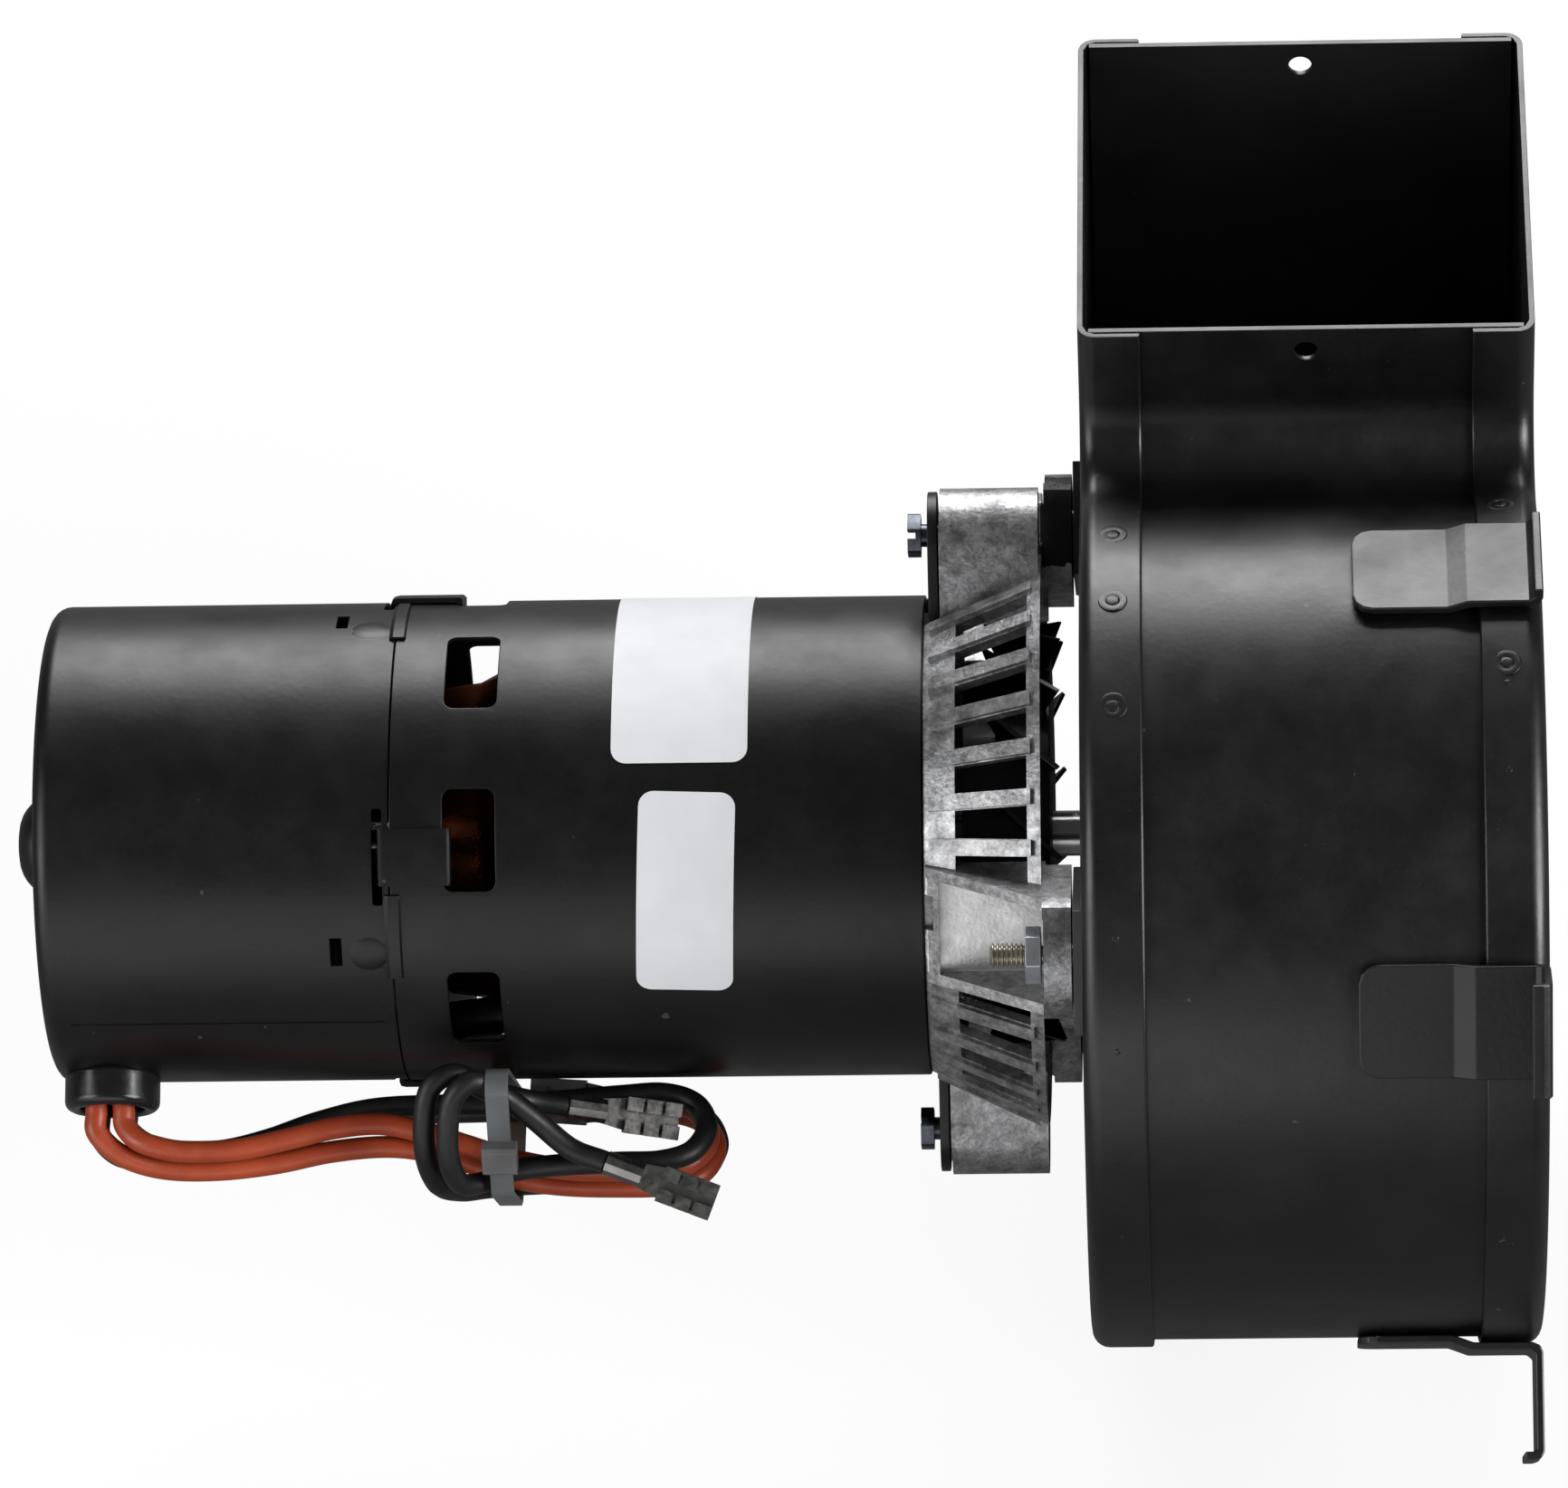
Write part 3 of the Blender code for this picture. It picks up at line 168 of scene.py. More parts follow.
def wire(tree, shader, colour, rough, height, strength, depth):
    """Joins a colour, a roughness and a bump height to the shader."""
    bump = add(tree, "ShaderNodeBump", {"Height": height, "Strength": strength, "Distance": depth})
    for source, name in ((colour, "Base Color"), (rough, "Roughness"), (bump.outputs[0], "Normal")):
        tree.links.new(source, shader.inputs[name])


# %% [markdown]
# Studio: a pale floor under the fan, one large soft lamp from above and behind, a low card in front and
# two lamps far out to the sides. A black object shows little but reflections. The back lamp and the card
# each draw one band of light along the motor. A round bar never mirrors what stands far along its own
# axis, so the side lamps light the labels and leads without adding a band. The room stays dim, and the
# white that the camera sees reaches shiny surfaces only in a small share.

# %% Floor, room and lamps
FLOOR_SIZE = 12.0
FLOOR_GAP = 0.0004
LAMP_AIM = Vector((-0.13, 0.0, 0.0))
LAMPS = (("back_lamp", (-0.13, 1.02, 0.8), (1.0, 0.8), 16.0),
         ("front_card", (-0.3, -0.3, 0.01), (0.66, 0.21), 0.43),
         ("left_lamp", (-1.61, -0.73, 0.73), (1.0, 1.0), 11.0),
         ("right_lamp", (1.35, -0.73, 0.73), (1.0, 1.0), 30.0))
ROOM_LEVEL = 0.035
FLOOR_MATT = 0.14
FLOOR_GLOW = 0.86
METAL_SHARE = 0.05


def started(name, primitive, **settings):
    """A new piece from one of Blender's own shapes."""
    bpy.ops.object.select_all(action="DESELECT")
    primitive(**settings)
    piece = bpy.context.object
    piece.name = name
    return piece


def seen_directly(tree):
    """1 for rays from the camera or through glass, and a share for rays off shiny surfaces."""
    path = add(tree, "ShaderNodeLightPath").outputs
    clear = math_node(tree, "MAXIMUM", path["Is Camera Ray"], path["Is Transmission Ray"])
    shiny = math_node(tree, "MULTIPLY", path["Is Glossy Ray"], METAL_SHARE)
    return math_node(tree, "MAXIMUM", clear, shiny)


floor_spot = (0.0, 0.0, cad_box[0].z - FLOOR_GAP)
floor = started("studio_floor", bpy.ops.mesh.primitive_plane_add, size=FLOOR_SIZE, location=floor_spot)
pale = bpy.data.materials.new("pale_floor")
pale.use_nodes = True
nodes = pale.node_tree
nodes.nodes.remove(nodes.nodes["Principled BSDF"])
matt = add(nodes, "ShaderNodeBsdfDiffuse", {"Color": grey(FLOOR_MATT)})
glow = add(nodes, "ShaderNodeEmission", {"Color": grey(FLOOR_GLOW), "Strength": seen_directly(nodes)})
both = add(nodes, "ShaderNodeAddShader", {0: matt.outputs[0], 1: glow.outputs[0]})
nodes.links.new(both.outputs[0], nodes.nodes["Material Output"].inputs["Surface"])
floor.data.materials.append(pale)

room = bpy.data.worlds.new("studio_room")
room.use_nodes = True
nodes = room.node_tree
level = add(nodes, "ShaderNodeMapRange", {"Value": seen_directly(nodes), "To Min": ROOM_LEVEL, "To Max": 1.0})
nodes.links.new(level.outputs[0], nodes.nodes["Background"].inputs["Strength"])
nodes.nodes["Background"].inputs["Color"].default_value = grey(1.0)
bpy.context.scene.world = room

for name, spot, size, power in LAMPS:
    lamp_data = bpy.data.lights.new(name, "AREA")
    lamp_data.shape = "RECTANGLE"
    lamp_data.size, lamp_data.size_y = size
    lamp_data.energy = power
    lamp = placed(name, lamp_data)
    lamp.location = spot
    lamp.visible_camera = False
    lamp.rotation_euler = (LAMP_AIM - lamp.location).to_track_quat("-Z", "Y").to_euler()
bpy.context.scene.view_settings.view_transform = "Standard"
print("floor at", round(floor.location.z, 4), "m, lamps:", [lamp[0] for lamp in LAMPS])

# %% [markdown]
# Black enamel covers the motor and the blower's sheet metal. Sprayed enamel isn't one flat black: it has
# a fine orange-peel skin, patches that are a little duller, dust, and small bright nicks. The noise is
# sized in metres, so a scale of 900 gives grains of about a millimetre.

# %% Black enamel
DUST = (0.035, 0.035, 0.037, 1.0)
NICK = (0.07, 0.07, 0.072, 1.0)


def black_enamel(name, base, dull, shine):
    material, tree, shader, place = new_finish(name, specular_ior_level=shine)
    tone = ramp(tree, noise(tree, place, 38.0, 4.0), (0.3, shaded(base, 0.8)), (0.7, shaded(base, 1.25)))
    dust = ramp(tree, noise(tree, place, 2600.0, 1.0), (0.72, 0.0), (0.8, 0.6))
    colour = mixed(tree, dust, tone, DUST)
    nicks = ramp(tree, noise(tree, place, 330.0, 2.0), (0.765, 0.0), (0.78, 0.7))
    colour = mixed(tree, nicks, colour, NICK)
    rough = ramp(tree, noise(tree, place, 70.0, 5.0, 0.65), (0.3, dull - 0.06), (0.7, dull + 0.08))
    wire(tree, shader, colour, rough, noise(tree, place, 900.0, 2.0), 0.12, 0.0002)
    return material


ENAMEL = black_enamel("black_enamel", (0.0018, 0.0018, 0.0022), 0.38, 0.52)
CASING = black_enamel("casing_enamel", (0.0012, 0.0012, 0.0016), 0.37, 0.78)
print("enamels:", ENAMEL.name, CASING.name)

# %% [markdown]
# The bracket is die-cast aluminium: a fine pale grain with cloudy streaks. The ends of its feet are
# darker in the photo, one of them nearly black, and that shade is painted on: a mask finds each foot from
# the distance along the foot's own direction. A second mask finds the floors of the nut pockets and
# paints light on them, so that they are paler than the rest.

# %% Cast aluminium
FOOT_TURNS = (23.2, 143.2, 263.2)
# Painted shade: how dark each foot's end is painted, and whether only its middle is shaded.
FOOT_SHADE_TONES = (0.275, 0.03, 0.15)
FOOT_SHADE_MIDDLE_ONLY = (True, False, True)
FOOT_FACE = -0.0856
FOOT_FROM, FOOT_TO, FOOT_HALF = 0.0455, 0.0622, 0.0068
POCKET_R, POCKET_NEAR, POCKET_HALF = 0.0413, 0.0003, 0.0087
# Painted light: how pale the pocket floors are painted, and how strongly.
POCKET_LIGHT_SHARE, POCKET_LIGHT_TONE = 0.9, 0.94
RAGGED = 0.0012
CAST_DARK, CAST_PALE = (0.3, 0.305, 0.315), (0.66, 0.66, 0.67)


def radial(turn):
    """The direction from the shaft at an angle round it from the front."""
    return Vector((0.0, -math.cos(math.radians(turn)), math.sin(math.radians(turn))))


def along(tree, place, facing):
    """Distance of a point along a direction."""
    return add(tree, "ShaderNodeVectorMath", {0: place, 1: facing}, operation="DOT_PRODUCT").outputs["Value"]


def near(tree, value, limit):
    """1 where a value is within a limit of zero."""
    return math_node(tree, "LESS_THAN", math_node(tree, "ABSOLUTE", value), limit)


def cast_aluminium():
    material, tree, shader, place = new_finish("cast_aluminium", metallic=0.9)
    grain = ramp(tree, noise(tree, place, 620.0, 8.0, 0.85), (0.38, CAST_DARK), (0.6, CAST_PALE))
    cloud = ramp(tree, noise(tree, place, 190.0, 5.0, 0.7), (0.36, 0.5), (0.6, 1.0))
    tone = mixed(tree, 1.0, grain, cloud, "MULTIPLY")
    ragged = add(tree, "ShaderNodeMapRange",
                 {"Value": noise(tree, place, 700.0, 3.0), "To Min": -RAGGED, "To Max": RAGGED})
    past_face = math_node(tree, "GREATER_THAN", along(tree, place, (1.0, 0.0, 0.0)), FOOT_FACE)
    # Shade is painted on each foot's end, on all of it or only on its middle.
    for turn, foot_shade, middle_only in zip(FOOT_TURNS, FOOT_SHADE_TONES, FOOT_SHADE_MIDDLE_ONLY):
        reach = along(tree, place, radial(turn))
        out = math_node(tree, "ADD", reach, ragged.outputs[0])
        side = along(tree, place, radial(turn + 90.0))
        inside = math_node(tree, "MULTIPLY", math_node(tree, "GREATER_THAN", out, FOOT_FROM), past_face)
        inside = math_node(tree, "MULTIPLY", inside, math_node(tree, "LESS_THAN", out, FOOT_TO))
        if middle_only:
            inside = math_node(tree, "MULTIPLY", inside, near(tree, side, FOOT_HALF))
        tone = mixed(tree, inside, tone, grey(foot_shade))
        # Light is painted on the floors of the nut pockets.
        at_floor = near(tree, math_node(tree, "SUBTRACT", reach, POCKET_R), POCKET_NEAR)
        lit_floor = math_node(tree, "MULTIPLY", near(tree, side, POCKET_HALF), at_floor)
        tone = mixed(tree, math_node(tree, "MULTIPLY", lit_floor, POCKET_LIGHT_SHARE), tone, grey(POCKET_LIGHT_TONE))
    rough = ramp(tree, noise(tree, place, 300.0, 4.0), (0.3, 0.35), (0.7, 0.52))
    wire(tree, shader, tone, rough, noise(tree, place, 1300.0, 4.0), 0.25, 0.0004)
    return material


CAST = cast_aluminium()
print("cast finish with", len(CAST.node_tree.nodes), "nodes")

# %% [markdown]
# Bare and plated steels differ in tint and in how they were worked. One helper takes the tint, the
# roughness and a stretch that turns the noise into turning marks, brushing or a plain plated skin.

# %% Steels and copper
def worked_metal(name, tint, rough_range, stretch, grain, bare=1.0):
    material, tree, shader, place = new_finish(name, metallic=bare)
    laid = add(tree, "ShaderNodeMapping", {"Vector": place, "Scale": stretch}).outputs[0]
    fine = noise(tree, laid, grain, 4.0, 0.6)
    colour = ramp(tree, noise(tree, place, 220.0, 4.0), (0.3, shaded(tint, 0.72)), (0.7, tint))
    rough = ramp(tree, fine, (0.3, rough_range[0]), (0.7, rough_range[1]))
    wire(tree, shader, colour, rough, fine, 0.15, 0.0002)
    return material


EVEN = (1.0, 1.0, 1.0)
ZINC = worked_metal("bright_zinc", (0.74, 0.77, 0.82), (0.24, 0.4), EVEN, 900.0, 0.75)
DARK_ZINC = worked_metal("dark_zinc", (0.12, 0.13, 0.15), (0.25, 0.45), EVEN, 900.0)
TIN = worked_metal("tinned_brass", (0.36, 0.355, 0.345), (0.22, 0.4), EVEN, 700.0)
SHAFT_STEEL = worked_metal("ground_shaft", (0.6, 0.6, 0.61), (0.16, 0.3), (0.05, 1.0, 1.0), 500.0)
WHEEL_STEEL = worked_metal("galvanised_wheel", (0.5, 0.51, 0.53), (0.28, 0.5), EVEN, 500.0)
LAMINATION = worked_metal("core_sheets", (0.16, 0.16, 0.17), (0.4, 0.6), (30.0, 1.0, 1.0), 90.0)
BRONZE = worked_metal("oiled_bronze", (0.45, 0.3, 0.15), (0.35, 0.55), EVEN, 800.0)
COPPER = worked_metal("enamelled_copper", (0.3, 0.08, 0.03), (0.25, 0.4), (1.0, 30.0, 30.0), 90.0)
THREAD_STEEL = worked_metal("screw_thread", (0.56, 0.52, 0.43), (0.25, 0.4), EVEN, 900.0, 0.7)
print("metals from", ZINC.name, "to", THREAD_STEEL.name)

# %% [markdown]
# Rubbery and moulded parts: silicone leads have a soft sheen and fine dust, nylon is smoother. A moulded
# skin is two noises, a broad one for colour and a fine one for the grain.

# %% Silicone, nylon and paper
def moulded(name, dark, light, rough_range, grain, bump, **constants):
    material, tree, shader, place = new_finish(name, **constants)
    colour = ramp(tree, noise(tree, place, 110.0, 4.0), (0.3, dark), (0.7, light))
    rough = ramp(tree, noise(tree, place, 400.0, 3.0), (0.3, rough_range[0]), (0.7, rough_range[1]))
    wire(tree, shader, colour, rough, noise(tree, place, grain, 3.0), bump, 0.0002)
    return material


ORANGE = moulded("orange_silicone", (0.36, 0.05, 0.017), (0.48, 0.08, 0.028), (0.3, 0.44), 1100.0, 0.15)
BLACK_LEAD = moulded("black_silicone", (0.006, 0.006, 0.0065), (0.012, 0.012, 0.0125), (0.38, 0.52),
                     1100.0, 0.15)
BUSHING = moulded("glossy_nylon", (0.008, 0.008, 0.0085), (0.014, 0.014, 0.015), (0.16, 0.3), 700.0, 0.1)
NYLON = moulded("black_nylon", (0.01, 0.01, 0.011), (0.02, 0.02, 0.021), (0.35, 0.5), 900.0, 0.1)
GREY_NYLON = moulded("grey_nylon", (0.1, 0.103, 0.107), (0.16, 0.165, 0.172), (0.3, 0.45), 900.0, 0.1,
                     subsurface_weight=0.15)
BOARD = moulded("switch_board_brown", (0.1, 0.05, 0.025), (0.15, 0.075, 0.04), (0.5, 0.65), 1200.0, 0.1)
PAPER = moulded("label_paper", (0.8, 0.81, 0.84), (0.86, 0.87, 0.9), (0.55, 0.68), 1500.0, 0.04)
print("moulded finishes from", ORANGE.name, "to", PAPER.name)

# %% [markdown]
# The four motor leads are cords: a fixed length of limp silicone-covered wire, folded once into a hank
# under the motor. Each route is a list of points, given as (along the shaft, towards the camera, up the
# picture) in millimetres. They are the points that the solid leads follow.

# %% Lead routes
ROUTES = {
    "lead_orange_1": [
        (-251, 12.35, -46.6), (-250.8, 13, -50.2), (-246.6, 12.6, -54.2), (-239.5, 10.5, -56.6),
        (-230.3, 8.6, -57), (-220.3, 7.2, -56), (-211, 6, -54.2), (-202, 5.2, -53.4), (-195, 4.8, -54),
        (-187.4, 4.5, -56), (-179, 4.2, -59), (-170.5, 4, -60.4), (-161, 4, -60.8), (-152, 4, -60.6),
        (-146.2, 2.4, -58.8), (-143.8, -1.4, -54.4), (-146.2, -5.2, -50), (-151.6, -6.8, -48.2),
        (-156.2, -6.9, -48)],
    "lead_orange_2": [
        (-246.2, 12.35, -46.6), (-246, 12.9, -48.9), (-244, 14.4, -51.2), (-240.6, 15.2, -52.6),
        (-235.4, 14, -53.6), (-226.5, 11.6, -53.4), (-217.3, 9.9, -51.6), (-209.7, 8.6, -49.9),
        (-202, 8.2, -49.3), (-195, 8.2, -50.6), (-187.4, 8.3, -53), (-179, 8.3, -55.7),
        (-170.5, 8.2, -57.4), (-162, 8.2, -57.9), (-152.5, 8.2, -57.8), (-147, 6.65, -56.1),
        (-144.7, 2.9, -52.1), (-147, -0.85, -48), (-151.8, -2.4, -46.4), (-156.2, -2.5, -46.3)],
    "lead_black_1": [
        (-251, 7.65, -47.6), (-250.8, 8.4, -51), (-247.4, 6, -54.6), (-240.5, -0.5, -55.2),
        (-230, -6.5, -54.2), (-217, -10.8, -51.2), (-203, -13, -48.6), (-188, -13.5, -48),
        (-172, -13.5, -48), (-159.5, -13.5, -48), (-151.5, -13.5, -48), (-146.1, -12.2, -49.7),
        (-143.8, -9, -54), (-146.1, -5.8, -58.2), (-151.5, -4.5, -60), (-160, -4.6, -60.2),
        (-170, -4.8, -60.3), (-179, -4.6, -60.6), (-184.2, -2.6, -61), (-188.6, 4, -61.2),
        (-191.6, 12, -59.6), (-193, 18.4, -54.8), (-193, 21.8, -48.4), (-191.6, 23.2, -42.6),
        (-187.4, 22.6, -40.4), (-182.6, 18.8, -43.2), (-176, 13.6, -45.2), (-169, 11.6, -46.4)],
    "lead_black_2": [
        (-246.2, 7.65, -47.6), (-246, 8, -49.8), (-242.8, 7.5, -52.4), (-237.5, 6.4, -53.8),
        (-230, 4.6, -53.8), (-222, 3.4, -52), (-213, 2.6, -49), (-203, 2.4, -46.8), (-190, 2.4, -46.3),
        (-175, 2.4, -46.1), (-160, 2.4, -45), (-152.5, 2.4, -44.7), (-147.1, 3.9, -46.4),
        (-144.8, 7.5, -50.4), (-147.1, 11.1, -54.4), (-152.5, 12.6, -56.1), (-160, 12.7, -56.3),
        (-170, 12.8, -56.6), (-178.5, 12.6, -57.6), (-183.2, 12.8, -59.4), (-187, 16.4, -59.6),
        (-188.7, 20.8, -56), (-188.8, 23.8, -50.4), (-187.6, 25.8, -44.6), (-184, 25.8, -41.6),
        (-179.4, 22.6, -44), (-174, 19.4, -48.4), (-168, 17.8, -53.6), (-162, 18, -56)],
}
print("route points:", [len(points) for points in ROUTES.values()])

# %% [markdown]
# A lead could be a swept mesh, but a curve with a round bevel is simpler, and it stays a line whose length
# can be measured. A smooth line is laid through the route's points first.

# %% Laying a lead
LEAD_D = 3.9
SEAT_DEPTH = 3.0


def hung(point):
    """A route point in the fan's axes, in metres."""
    x, front, up = point
    return (Vector((x, 0.0, 0.0)) + towards_camera * front + picture_up * up) * MM


def smooth_route(points, parts=12):
    """Points on a smooth curve through the route."""
    ends = [2 * points[0] - points[1]] + points + [2 * points[-1] - points[-2]]
    fine = [points[0]]
    for before, start, stop, after in zip(ends, ends[1:], ends[2:], ends[3:]):
        for index in range(1, parts + 1):
            t = index / parts
            bend = 2 * before - 5 * start + 4 * stop - after
            twist = 3 * start - before - 3 * stop + after
            fine.append(0.5 * (2 * start + (stop - before) * t + bend * t ** 2 + twist * t ** 3))
    return fine


def lead(name, material):
    """A lead as a round curve that starts inside the bushing and ends in its terminal."""
    route = [hung(point) for point in ROUTES[name]]
    inside = route[0] - (route[1] - route[0]).normalized() * SEAT_DEPTH * MM
    line = [inside] + smooth_route(route)
    curve = bpy.data.curves.new(name + "_cord", "CURVE")
    curve.dimensions = "3D"
    curve.bevel_depth = LEAD_D / 2 * MM
    curve.bevel_resolution = 5
    curve.use_fill_caps = True
    spline = curve.splines.new("POLY")
    spline.points.add(len(line) - 1)
    for slot, point in zip(spline.points, line):
        slot.co = (*point, 1.0)
    spline.use_smooth = True
    cord = placed(name + "_cord", curve)
    curve.materials.append(material)
    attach(cord, "housing")
    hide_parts(name)


# %% [markdown]
# Operators act on what is selected, as by hand, so the first helper picks one piece and drops the rest.
# The others are the moves that repeat: apply a modifier, cut or join, round the edges, and hand a piece
# to its body.

# %% Modelling helpers
def pick(piece):
    """Makes one piece the only selected and active one."""
    bpy.ops.object.select_all(action="DESELECT")
    piece.select_set(True)
    bpy.context.view_layer.objects.active = piece


def applied(piece, kind, **settings):
    """Adds a modifier and applies it."""
    pick(piece)
    modifier = piece.modifiers.new(kind.lower(), kind)
    for key, value in settings.items():
        setattr(modifier, key, value)
    bpy.ops.object.modifier_apply(modifier=modifier.name)
    return piece


def combined(piece, operation, *others):
    """Cuts or joins other pieces, which are used up."""
    for other in others:
        applied(piece, "BOOLEAN", operation=operation, object=other, solver="EXACT")
        bpy.data.objects.remove(other, do_unlink=True)
    return piece


def eased(piece, width, segments=2, angle=32.0):
    """Rounds every sharp edge by a width in millimetres and smooths the shading between."""
    limit = math.radians(angle)
    applied(piece, "BEVEL", width=width * MM, segments=segments, limit_method="ANGLE", angle_limit=limit)
    bpy.ops.object.shade_smooth_by_angle(angle=limit)
    return applied(piece, "WEIGHTED_NORMAL", keep_sharp=True)


def dressed(piece, body, material, slot, *nodes):
    """Gives a piece its finish and its place on a body, in place of the solids it stands for."""
    piece.data.materials.clear()
    piece.data.materials.append(material)
    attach(piece, body)
    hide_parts(*nodes)
    print(f"{piece.name}: {len(piece.data.polygons)} faces")
    return piece


# %% [markdown]
# Most of the motor is round. It could be built from cylinders, but a profile spun round the shaft, as on
# a lathe, gives walls, rims and fillets in one go.

# %% Spinning a profile
SPIN_SENSE = -1.0  # the spin operator turns against the right-hand rule


def open_all():
    """Opens the active piece with everything selected."""
    bpy.ops.object.mode_set(mode="EDIT")
    bpy.ops.mesh.select_all(action="SELECT")


def close():
    """Ends the editing."""
    bpy.ops.object.mode_set(mode="OBJECT")


def round_shaft(x, radius, turn):
    """A point in metres, from a place along the shaft, a radius and an angle round it."""
    angle = math.radians(turn)
    return Vector((x, -radius * math.cos(angle), radius * math.sin(angle))) * MM


def merged(piece):
    """Joins doubled points, drops loose ones and faces every surface outwards."""
    pick(piece)
    open_all()
    bpy.ops.mesh.remove_doubles(threshold=1e-6)
    bpy.ops.mesh.dissolve_degenerate(threshold=1e-7)
    bpy.ops.mesh.delete_loose()
    bpy.ops.mesh.select_all(action="SELECT")
    bpy.ops.mesh.normals_make_consistent(inside=False)
    close()
    return piece


def outline_loop(name, points):
    """A loop of edges through the given points, from a circle with as many corners."""
    piece = started(name, bpy.ops.mesh.primitive_circle_add, vertices=len(points), radius=0.01)
    for vert, point in zip(piece.data.vertices, points):
        vert.co = point
    return piece


def spun(name, profile, steps, middle=0.0, wide=360.0):
    """An outline of (along the shaft, radius) turned round the shaft, all the way or in part."""
    piece = outline_loop(name, [round_shaft(x, r, middle + wide / 2) for x, r in profile])
    open_all()
    if wide < 360.0:
        bpy.ops.mesh.edge_face_add()
    bpy.ops.mesh.spin(steps=steps, angle=SPIN_SENSE * math.radians(wide), center=(0.0, 0.0, 0.0),
                      axis=(1.0, 0.0, 0.0))
    close()
    return merged(piece)


# %% [markdown]
# Windows and slots are cut with blocks: cubes whose points are moved to the wanted ends, with the upright
# edges rounded where the real corner is round.

# %% Blocks to cut with
def block(name, x, y, z, turn=90.0, corner=0.0):
    """A box in millimetres, its z side turned to an angle round the shaft."""
    piece = started(name, bpy.ops.mesh.primitive_cube_add, size=1.0)
    for vert in piece.data.vertices:
        share = vert.co + Vector((0.5, 0.5, 0.5))
        vert.co = [low + part * (high - low) for part, (low, high) in zip(share, (x, y, z))]
    if corner:
        for edge in piece.data.edges:
            ends = [piece.data.vertices[index].co for index in edge.vertices]
            edge.select = abs(ends[0].z - ends[1].z) > 1e-6
        bpy.ops.object.mode_set(mode="EDIT")
        bpy.ops.mesh.select_mode(type="EDGE")
        bpy.ops.mesh.bevel(offset=corner, segments=4, affect="EDGES")
        close()
    lean = Matrix.Rotation(math.radians(90.0 - turn), 4, "X")
    piece.data.transform(Matrix.Scale(MM, 4) @ lean)
    return piece


# %% [markdown]
# The motor shell is a rolled steel tube with a ring of vent windows. It could be a plain cylinder with
# holes painted on, but light shows through the real ones, so a wall section is spun and the windows are
# cut with blocks. Extra rings beside the windows keep the cuts from pulling the smooth shading.

# %% Motor shell
MOTOR_R = 41.9
SHEET = 1.1
SHELL_ENDS = (-196.8, -105.7)
WINDOW_X = -183.2
WINDOW_LONG, WINDOW_WIDE, WINDOW_CORNER = 9.0, 17.5, 1.6
WINDOW_COUNT = 8
WINDOW_RINGS = 5.2
SHELL_CUT = (34.0, 48.0)
ROUND = 160
rings = (SHELL_ENDS[0], WINDOW_X - WINDOW_RINGS, WINDOW_X + WINDOW_RINGS, SHELL_ENDS[1])
wall = [(x, MOTOR_R) for x in rings] + [(x, MOTOR_R - SHEET) for x in rings[::-1]]
shell = spun("motor_shell_skin", wall, ROUND)
window_x = (WINDOW_X - WINDOW_LONG / 2, WINDOW_X + WINDOW_LONG / 2)
window_y = (-WINDOW_WIDE / 2, WINDOW_WIDE / 2)
for index in range(WINDOW_COUNT):
    window_turn = 360.0 * index / WINDOW_COUNT
    combined(shell, "DIFFERENCE", block("window", window_x, window_y, SHELL_CUT, window_turn, WINDOW_CORNER))
dressed(eased(shell, 0.22), "housing", ENAMEL, "black_paint", "motor_shell")

# %% [markdown]
# The rear cap is a drawn cup with a rounded rim and a small hub over the rear bearing. Its profile is
# spun, and then it is cut: a round hole for the lead bushing, two short slots, and a slit behind each of
# four tabs.

# %% Motor end cap: the cup and its cuts
CAP_REAR = -258.5
HUB_TIP = -265.3
HUB_R = 9.0
HUB_FILLET, HUB_DOME = 1.6, 6.4
CAP_CORNER = 3.0
CAP_RING_X = -212.0
CAP_CUT, RELIEF_CUT = (36.0, 46.0), (30.0, 50.0)
CAP_SLOT_TURNS = (18.0, 111.0)
CAP_SLOT_X, CAP_SLOT_HALF = (-207.6, -205.5), 2.7
CLIP_TURNS = (41.2, 131.2, 221.2, 311.2)
CLIP_SLIT_X, CLIP_SLIT_HALF, CLIP_SLIT_CORNER = (-199.9, -198.1), 8.3, 0.5
RELIEF_TURN, RELIEF_X, RELIEF_R = -33.0, -248.5, 8.3
RELIEF_HOLE, RELIEF_HOLE_CORNER = 6.7, 6.6


def arc(x, r, radius, start, stop, steps):
    """Points on a part of a circle, in the plane of a profile."""
    turns = [math.radians(start + (stop - start) * step / steps) for step in range(steps + 1)]
    return [(x + radius * math.cos(turn), r + radius * math.sin(turn)) for turn in turns]


cap_outer = MOTOR_R - 0.1
cap_edge = SHELL_ENDS[0] - 0.3
cap_profile = [(cap_edge, cap_outer - SHEET), (cap_edge, cap_outer), (CAP_RING_X, cap_outer)]
cap_profile += arc(CAP_REAR + CAP_CORNER, cap_outer - CAP_CORNER, CAP_CORNER, 90.0, 180.0, 6)
cap_profile += [(CAP_REAR, HUB_R + 3.0)]
cap_profile += arc(CAP_REAR - HUB_FILLET, HUB_R + HUB_FILLET, HUB_FILLET, 0.0, -90.0, 4)
cap_profile += arc(HUB_TIP + HUB_DOME, HUB_R - HUB_DOME, HUB_DOME, 90.0, 175.0, 8)
cap_profile += [(HUB_TIP, 2.0), (HUB_TIP, 0.0)]
cap_profile += [(HUB_TIP + SHEET, 0.0), (HUB_TIP + 2.4, HUB_R - 5.0), (HUB_TIP + 5.0, HUB_R - 2.4)]
cap_profile += [(CAP_REAR + SHEET, HUB_R - 1.5), (CAP_REAR + SHEET, cap_outer - CAP_CORNER)]
cap_profile += [(CAP_REAR + SHEET + 1.9, cap_outer - SHEET)]
cap = spun("motor_end_cap_skin", cap_profile, ROUND)
relief_x = (RELIEF_X - RELIEF_HOLE, RELIEF_X + RELIEF_HOLE)
relief_y = (-RELIEF_HOLE, RELIEF_HOLE)
